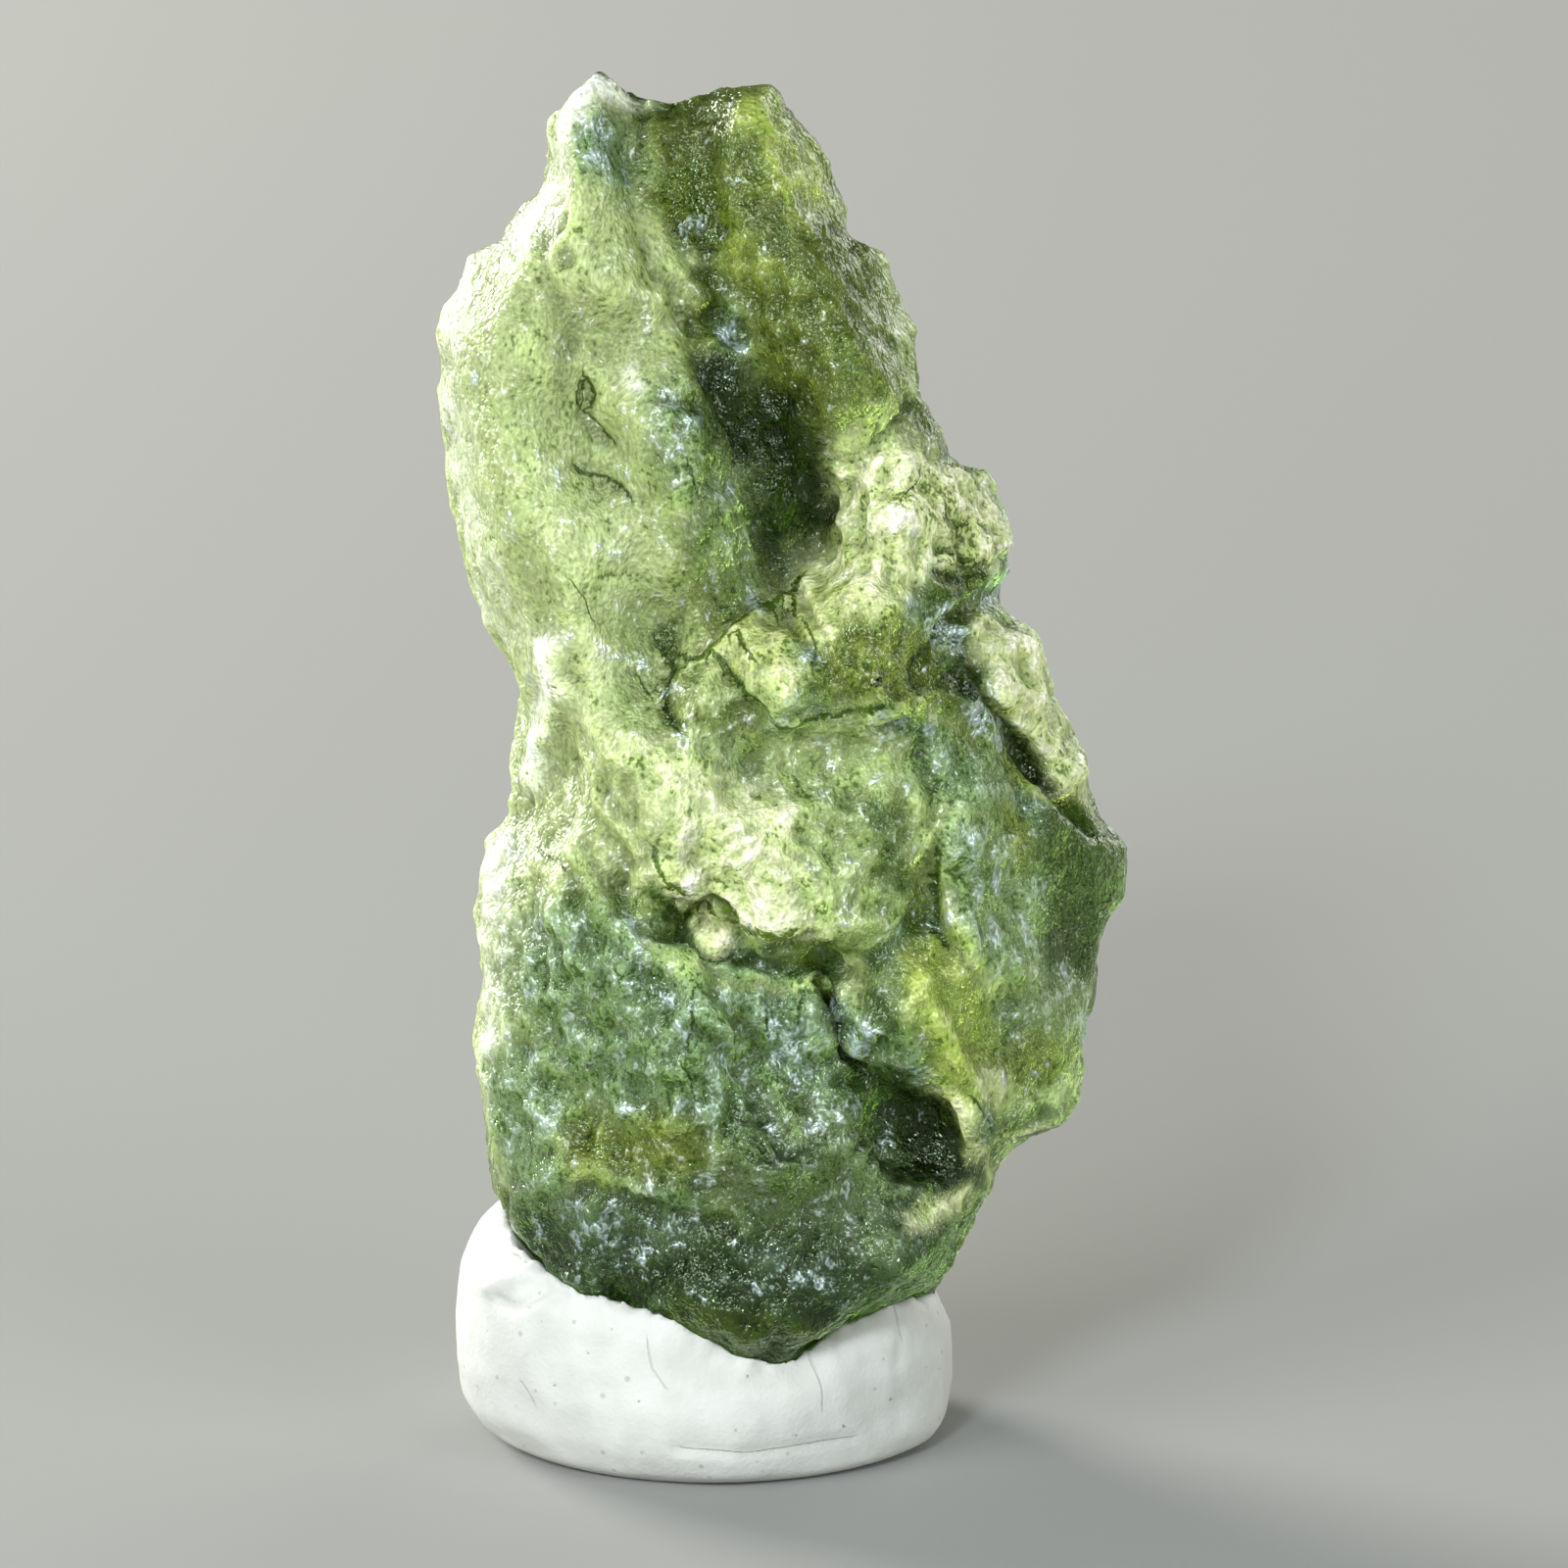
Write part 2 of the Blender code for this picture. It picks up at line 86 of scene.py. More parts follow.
# Creases: path, half width, depth. A negative depth stands up.
CREASES = {
    "green_squiggle": ([(-2.8, 25.1), (-2.6, 24.5), (-2.7, 24.1), (-2.2, 23.5)], 0.28, 0.15),
    "brown_crack": ([(-2.9, 23.0), (-2.3, 22.7), (-1.7, 22.3)], 0.20, 0.12),
    "dark_fold_beside_the_glint": ([(-0.9, 24.7), (0.0, 24.4)], 0.35, 0.25),
    "notch": ([(7.2, 20.2), (6.4, 19.7), (5.9, 19.2)], 0.40, 0.60),
    "crevice_beside_the_facets": (
        [(6.4, 19.0), (6.7, 18.5), (7.0, 17.4), (7.6, 16.3), (8.4, 15.4), (9.5, 14.4)], 0.35, 0.50,
    ),
    "fill_of_the_crevice": ([(2.7, 11.0), (3.1, 10.2), (3.3, 9.2)], 0.85, -0.60),
    "crevice_below_the_hump": ([(2.6, 10.7), (3.0, 10.2), (3.1, 9.5), (3.3, 9.1), (3.8, 8.8)], 0.22, 0.55),
    "fold_in_the_saddle": ([(5.1, 16.4), (5.5, 15.4), (5.4, 14.6)], 0.30, 0.22),
    "fold_in_the_lobe": ([(2.0, 19.9), (2.3, 19.0), (2.9, 18.4)], 0.22, 0.20),
    "fold_in_the_tongue": ([(0.5, 18.1), (0.9, 17.6), (1.5, 17.1)], 0.22, 0.12),
    "fold_low_in_the_middle": ([(1.2, 9.2), (1.4, 8.0), (2.2, 7.0)], 0.35, 0.30),
    "fold_at_the_foot": ([(-2.6, 6.0), (-1.0, 5.3), (0.6, 5.1)], 0.40, 0.20),
    "shoulder_line": ([(-3.9, 29.2), (-3.7, 27.4), (-3.0, 26.2), (-3.2, 24.9)], 0.35, 0.12),
    "rib_to_the_foot": (
        [(-2.9, 13.9), (-2.2, 12.3), (-1.3, 11.5), (-0.4, 11.1), (0.3, 10.0), (1.0, 9.2), (1.7, 8.3)],
        0.35, -0.28,
    ),
    "white_ridge_at_the_waist": ([(-3.5, 18.6), (-3.3, 17.7), (-3.6, 16.7)], 0.50, -0.30),
    "lip_under_the_bubble": ([(-1.1, 11.9), (-0.5, 11.3), (0.4, 11.1), (1.4, 11.0)], 0.30, -0.20),
    "brow_of_the_bulge": ([(5.2, 10.9), (5.7, 9.6), (6.3, 8.4), (6.4, 7.3)], 0.50, -0.25),
    "worn_beside_the_tongue": ([(3.6, 17.6), (5.0, 18.2)], 1.70, 0.45),
    "worn_above_the_foot": ([(1.5, 6.5), (2.4, 6.5)], 1.40, 0.45),
}
CREASE_SHARPNESS = 0.8  # below 1, a crease has a broader floor

# Bubbles and pits that the etching opened: middle, radius, depth. A negative depth stands up.
BOWLS = {
    "fill_left_of_the_bubble": ((-0.8, 12.9), 0.95, -0.50),
    "socket_of_the_bubble": ((0.1, 12.1), 0.80, 0.30),
    "oval_bubble": ((0.15, 12.05), 0.58, -0.60),
    "first_pit": ((-1.0, 13.3), 0.22, 0.16),
    "second_pit": ((-0.7, 12.9), 0.25, 0.20),
    "third_pit": ((-0.9, 12.4), 0.20, 0.15),
    "fourth_pit": ((-0.45, 12.8), 0.16, 0.12),
    "saddle_over_the_hollow": ((3.4, 8.2), 0.80, -0.25),
    "knob_in_the_hollow": ((4.9, 7.1), 0.55, -0.18),
    "square_pit": ((2.8, 11.3), 0.35, 0.40),
    "bubble_in_the_cleft": ((0.8, 26.1), 0.40, 0.35),
    "pit_in_the_cleft": ((0.3, 26.5), 0.42, 0.35),
    "cluster_upper": ((1.2, 24.0), 0.28, 0.22),
    "cluster_middle": ((1.7, 23.7), 0.32, 0.28),
    "cluster_lower": ((1.9, 23.2), 0.26, 0.22),
    "pit_on_the_crest": ((-3.5, 28.7), 0.28, 0.20),
    "second_pit_on_the_crest": ((-3.2, 27.8), 0.32, 0.25),
    "lens_beside_the_facets": ((6.3, 18.0), 0.50, 0.35),
    "pinhole_low_on_the_left": ((-1.8, 5.8), 0.18, 0.15),
    "black_pit_in_the_crevice": ((4.2, 9.3), 0.30, 0.30),
    "hollow_low_on_the_right": ((5.1, 7.2), 1.20, 0.45),
    "dimple_at_the_foot": ((1.7, 7.3), 0.60, 0.30),
}

# Nicks in the outline, which run through from front to back: middle, reach, depth.
NICKS = {
    "over_the_left_shoulder": ((-4.4, 29.4), 2.0, 0.50),
    "left_of_the_peak": ((-3.3, 32.0), 1.8, 0.15),
    "between_the_peaks": ((-0.7, 32.1), 1.3, 0.24),
    "right_end_of_the_top": ((3.0, 32.0), 1.6, 0.38),
    "below_the_right_end": ((4.0, 28.8), 0.8, 0.30),
    "over_the_lobe": ((6.4, 23.5), 0.8, 0.50),
    "under_the_lobe": ((7.5, 19.8), 0.9, 0.42),
    "over_the_break": ((9.7, 15.1), 1.3, 0.32),
    "under_the_low_ridge": ((7.6, 6.7), 1.2, 0.30),
    "left_of_the_waist": ((-4.8, 15.0), 1.0, 0.22),
}
NICK_HOLD = 1.4  # above 1, a nick keeps its full depth round its middle

# Rings of flow lines: middle, spacing, height, reach.
RIPPLES = {
    "on_the_hump": ((1.6, 13.0), 0.42, 0.045, 3.2),
    "on_the_foot": ((1.6, 5.2), 0.50, 0.040, 2.4),
    "low_on_the_right": ((4.6, 6.4), 0.42, 0.045, 2.0),
    "on_the_lobe": ((6.8, 22.0), 0.45, 0.045, 1.8),
}
RIPPLE_HOLD = 1.5
RIPPLE_WANDER = 0.35  # how far the broken noise pushes a ring in and out

# Scallops: size, depth from rim to middle, how much longer they are up and down, where the noise is read.
SCALLOPS = [
    (1.7, 0.20, 1.25, (3.0, 1.0, 4.0)),
    (0.85, 0.13, 1.15, (9.0, 2.0, 5.0)),
    (0.48, 0.08, 1.1, (1.0, 7.0, 6.0)),
]
SCALLOP_REACH = 0.7  # how far from its middle a scallop has its rim, as a share of its size
WANDER = 0.45  # how crooked the scallops are, as a share of their size
WANDER_SIZE = 1.7  # over how much of their size they bend

# How deep the scallops are in places, against the rest of the stone: path, half width, soft edge, strength.
SCALLOP_STRENGTH = {
    "scales_on_the_lobe": ([(4.6, 21.6), (6.8, 21.6)], 1.5, 0.5, 1.7),
    "facets_on_the_right": ([(7.6, 18.8), (8.9, 15.6)], 1.0, 0.4, 1.6),
    "rough_slope": ([(-2.7, 11.0), (-1.8, 9.4), (1.5, 9.2)], 1.6, 0.8, 1.5),
    "rough_hump": ([(-1.3, 14.8), (2.0, 13.2)], 1.5, 0.5, 0.9),
    "smooth_break": ([(9.0, 14.3), (9.3, 12.4), (8.8, 10.6)], 1.1, 0.4, 0.15),
    "smooth_crest": ([(-3.4, 28.6), (-3.6, 24.0), (-2.5, 19.0)], 2.2, 0.8, 0.30),
    "smooth_bubble": ([(0.1, 12.2), (0.2, 11.9)], 0.6, 0.2, 0.1),
    "smooth_foot": ([(1.0, 4.6), (4.2, 4.6)], 1.5, 0.6, 0.5),
    "smooth_bulge": ([(6.0, 10.0), (6.6, 8.6)], 0.8, 0.4, 0.4),
}
RELIEF_WOBBLE = 0.12  # how far the edges of all this relief wander
NOISE_SEED = 2  # without it, Blender's noise vectors would differ from run to run


def copy_of_node(node):
    """A millimetre-sized bmesh of a CAD node, closed by merging its loose triangles."""
    bm = bmesh.new()
    bm.from_mesh(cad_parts[node].data)
    bmesh.ops.remove_doubles(bm, verts=bm.verts, dist=MERGE)
    bmesh.ops.scale(bm, vec=(1 / MM, 1 / MM, 1 / MM), verts=bm.verts)
    return bm


def object_of(name, bm):
    mesh = bpy.data.meshes.new(name)
    bm.to_mesh(mesh)
    bm.free()
    obj = bpy.data.objects.new(name, mesh)
    bpy.context.scene.collection.objects.link(obj)
    return obj


def with_small_faces(bm, face):
    """The same shape in small even faces."""
    rough = object_of("rough", bm)
    remesh = rough.modifiers.new("small_faces", "REMESH")
    remesh.mode = "VOXEL"
    remesh.voxel_size = face
    fine = bmesh.new()
    fine.from_object(rough, bpy.context.evaluated_depsgraph_get())
    bpy.data.objects.remove(rough)
    return fine


def smooth(bm, rounds):
    axes = {"use_axis_x": True, "use_axis_y": True, "use_axis_z": True}
    for _ in range(rounds):
        bmesh.ops.smooth_vert(bm, verts=bm.verts, factor=0.5, **axes)


def smoothstep(value):
    value = np.clip(value, 0.0, 1.0)
    return value * value * (3.0 - 2.0 * value)


def fading(distance, reach, hold=1.0):
    """1 in the middle and 0 from the reach on. A hold above 1 keeps more of the middle at 1."""
    return smoothstep(hold - hold * distance / reach)


def on_the_plane(places):
    """Places across and up the plane of the sculpted face."""
    return np.stack([places[:, 0], places @ FACE_UP], axis=1)


def turned_to_the_front(normals):
    """1 where a surface looks the sculpted face's way, 0 where it turns from it."""
    return smoothstep((normals @ FACE_WAY - FACE_TURN[0]) / (FACE_TURN[1] - FACE_TURN[0]))


def read_vertices(mesh, what):
    values = np.empty(len(mesh.vertices) * 3)
    mesh.vertices.foreach_get(what, values)
    return values.reshape(-1, 3)


def write_vertices(mesh, places):
    mesh.vertices.foreach_set("co", places.ravel())
    mesh.update()


def along_path(points, path):
    """How far each point is from a path, and on which side: 1 on its right, -1 on its left."""
    nearest = np.full(len(points), np.inf)
    side = np.zeros(len(points))
    path = np.array(path)
    for start, end in zip(path, path[1:]):
        run = end - start
        offset = points - start
        share = np.clip(offset @ run / (run @ run), 0.0, 1.0)
        distance = np.linalg.norm(offset - share[:, None] * run, axis=1)
        closer = distance < nearest
        side[closer] = np.sign(offset[closer, 0] * run[1] - offset[closer, 1] * run[0])
        nearest[closer] = distance[closer]
    return nearest, side


def scallops(places, size, depth, stretch, corner):
    """Height of a field of bowls with sharp rims between them."""
    corner = Vector(corner)
    heights = np.empty(len(places))
    for index, place in enumerate(places):
        place = Vector(place)
        bent = place + WANDER * size * noise.noise_vector(place / (WANDER_SIZE * size) + corner)
        cell = Vector((bent.x, bent.y, bent.z / stretch)) / size + corner
        away = noise.voronoi(cell)[0][0] / SCALLOP_REACH
        heights[index] = depth * (min(away, 1.0) ** 2 - 0.5)
    return heights


def vector_noise(places, size, corner):
    """Three columns of smooth noise from -1 to 1, in lumps of the size. The corner picks the noise."""
    corner = Vector(corner)
    return np.array([noise.noise_vector(Vector(place) / size + corner) for place in places])


class Neighbours:
    """A mesh's edges, to average a value over each vertex's neighbours."""

    def __init__(self, mesh):
        self.ends = np.empty(len(mesh.edges) * 2, dtype=np.int64)
        mesh.edges.foreach_get("vertices", self.ends)
        self.ends = self.ends.reshape(-1, 2)
        self.counts = np.bincount(self.ends.ravel(), minlength=len(mesh.vertices))

    def average(self, values, rounds):
        for _ in range(rounds):
            columns = []
            for column in values.T:
                total = np.bincount(self.ends[:, 0], column[self.ends[:, 1]], minlength=len(values))
                total += np.bincount(self.ends[:, 1], column[self.ends[:, 0]], minlength=len(values))
                columns.append(0.5 * column + 0.5 * total / self.counts)
            values = np.array(columns).T
        return values


stone_bm = with_small_faces(copy_of_node("moldavite"), STONE_FACE)
smooth(stone_bm, STONE_SMOOTHING)
moldavite = object_of("moldavite_stone", stone_bm)
places = read_vertices(moldavite.data, "co")
normals = read_vertices(moldavite.data, "normal")
neighbours = Neighbours(moldavite.data)
noise.seed_set(NOISE_SEED)

wobble = vector_noise(places, size=0.8, corner=(5.0, 1.0, 2.0))
broken = vector_noise(places, size=1.6, corner=(4.0, 2.0, 7.0))
on_face = on_the_plane(places) + RELIEF_WOBBLE * wobble[:, :2]
facing = turned_to_the_front(normals)

carved = np.zeros(len(places))
for path, drop, reach in STEPS.values():
    distance, side = along_path(on_face, path)
    wall = smoothstep(0.5 + side * distance / STEP_WALL)
    carved -= drop * wall * np.exp(-np.maximum(side * distance, 0.0) / reach) * (distance < 3.0 * reach)
for path, half_width, depth in CREASES.values():
    distance, _ = along_path(on_face, path)
    carved -= depth * fading(distance, half_width) ** CREASE_SHARPNESS
for middle, radius, depth in BOWLS.values():
    distance = np.linalg.norm(on_face - middle, axis=1) / radius
    carved -= depth * np.sqrt(np.clip(1.0 - distance**2, 0.0, 1.0))
nicked = np.zeros(len(places))
for middle, reach, depth in NICKS.values():
    distance = np.linalg.norm(on_face - middle, axis=1)
    nicked += depth * fading(distance, reach, NICK_HOLD)
for middle, spacing, height, reach in RIPPLES.values():
    distance = np.linalg.norm(on_face - middle, axis=1)
    rings = np.sin(math.tau * (distance + RIPPLE_WANDER * broken[:, 0]) / spacing)
    whole = smoothstep(0.4 + 2.0 * broken[:, 1])
    carved += height * rings * fading(distance, reach, RIPPLE_HOLD) * whole
strength = np.ones(len(places))
for path, half_width, soft, value in SCALLOP_STRENGTH.values():
    distance, _ = along_path(on_face, path)
    share = smoothstep((half_width + soft - distance) / soft) * facing
    strength += share * (value - strength)
etched = sum(scallops(places, *row) for row in SCALLOPS) * strength
places = places + normals * (carved * facing + etched - nicked)[:, None]
write_vertices(moldavite.data, places)

# The tone of the glass in places, as looks: colour through the glass, colour of its frosted skin, share of
# that skin, roughness, how much of it glints silvery as a painted glint, and how many small dark marks it
# has.
# Several looks are painted light: painted highlights on rims, glints and the bubble, painted shade in
# hollows.
LOOKS = {
    "frosted": ((0.80, 0.87, 0.48), (0.55, 0.64, 0.30), 0.40, 0.38, 0.08, 0.12),
    # frosted haze, and painted light: paler, as if lit more
    "haze_and_painted_light": ((1.0, 1.05, 0.62), (0.76, 0.86, 0.46), 0.45, 0.34, 0.08, 0.15),
    "pale": ((0.80, 0.90, 0.46), (0.58, 0.70, 0.32), 0.36, 0.28, 0.15, 0.25),
    # painted highlight: the white glow of backlit rims, of the ridge at the waist and of a glint
    "painted_highlight": ((1.05, 1.05, 0.98), (0.95, 0.98, 0.84), 0.62, 0.40, 0.0, 0.0),
    "cream": ((1.05, 1.08, 0.68), (0.98, 1.04, 0.62), 0.46, 0.14, 0.0, 0.14),
    # painted glitter: the white sparkle of glints
    "painted_glitter": ((0.30, 0.42, 0.24), (0.46, 0.56, 0.42), 0.35, 0.05, 1.1, 0.90),
    "honey": ((0.92, 0.97, 0.46), (0.80, 0.88, 0.40), 0.34, 0.12, 0.0, 0.30),
    "olive_lime": ((0.46, 0.54, 0.11), (0.38, 0.45, 0.10), 0.16, 0.12, 0.10, 0.45),
    "dusty": ((0.48, 0.56, 0.20), (0.44, 0.52, 0.21), 0.22, 0.20, 0.30, 0.45),
    "lime": ((1.0, 1.02, 0.60), (0.94, 1.0, 0.56), 0.44, 0.10, 0.0, 0.30),
    "scaly": ((1.05, 1.08, 0.60), (1.0, 1.05, 0.55), 0.50, 0.08, 0.0, 0.70),
    # painted highlight: the recessed bubble painted as if lit
    "painted_bubble_light": ((1.1, 1.1, 0.70), (1.0, 1.0, 0.62), 0.70, 0.08, 0.0, 0.0),
    "yellow_lime": ((0.72, 0.82, 0.22), (0.58, 0.69, 0.17), 0.25, 0.12, 0.0, 0.20),
    "olive": ((0.24, 0.30, 0.05), (0.19, 0.24, 0.05), 0.10, 0.18, 0.0, 0.25),
    # moss green: a dark tone of the glass, and painted shade by the notch, in the upper cleft, under the
    # scales, in the square pit, along the end of the tongue and where the stone goes into the putty
    "moss_green_and_painted_shade": ((0.15, 0.22, 0.01), (0.10, 0.15, 0.01), 0.12, 0.10, 0.0, 0.25),
    "smoke": ((0.38, 0.48, 0.25), (0.38, 0.47, 0.27), 0.28, 0.20, 0.40, 0.50),
    "leaf": ((0.50, 0.64, 0.34), (0.44, 0.57, 0.34), 0.28, 0.20, 0.35, 0.55),
    # painted shade: near black for the cleft, the crevices, the hollow and under the hump
    "painted_shade": ((0.006, 0.015, 0.001), (0.008, 0.020, 0.001), 0.03, 0.12, 0.0, 0.30),
    "bluish": ((0.38, 0.54, 0.28), (0.37, 0.52, 0.31), 0.22, 0.18, 0.30, 0.60),
    # painted glint: blue-grey glints over a darker green
    "painted_glint": ((0.27, 0.41, 0.25), (0.31, 0.44, 0.31), 0.24, 0.12, 0.75, 0.60),
    # dark bottle green: a tone that drifts at random over the stone, and painted shade in the pocket, beside
    # the hollow, low in the middle, along the foot and low down
    "dark_green_and_painted_shade": ((0.08, 0.15, 0.05), (0.08, 0.14, 0.05), 0.09, 0.14, 0.15, 0.20),
    # painted sheen: a blue-grey reflection over dark green
    "sheen": ((0.13, 0.20, 0.09), (0.19, 0.27, 0.19), 0.20, 0.14, 0.60, 0.30),
    "grey_green": ((0.26, 0.36, 0.17), (0.26, 0.34, 0.20), 0.18, 0.14, 0.25, 0.35),
    "break": ((0.06, 0.10, 0.02), (0.07, 0.11, 0.03), 0.06, 0.14, 0.0, 0.05),
}

# The looks that drift in over the pale glass all round: look, which column of the drift, from what level on.
REST_OF_STONE = [
    ("olive_lime", 0, -0.15), ("bluish", 2, 0.0), ("frosted", 4, 0.0), ("dark_green_and_painted_shade", 3, 0.0), ("painted_glint", 5, 0.2),
]
DRIFT_EDGE = 0.40  # how much further the drift rises before a look is whole
DRIFT_STRETCH = (1.0, 1.0, 0.55)  # the drifting patches are nearly twice as tall as they are wide
DRIFT_BREAKUP = 0.15

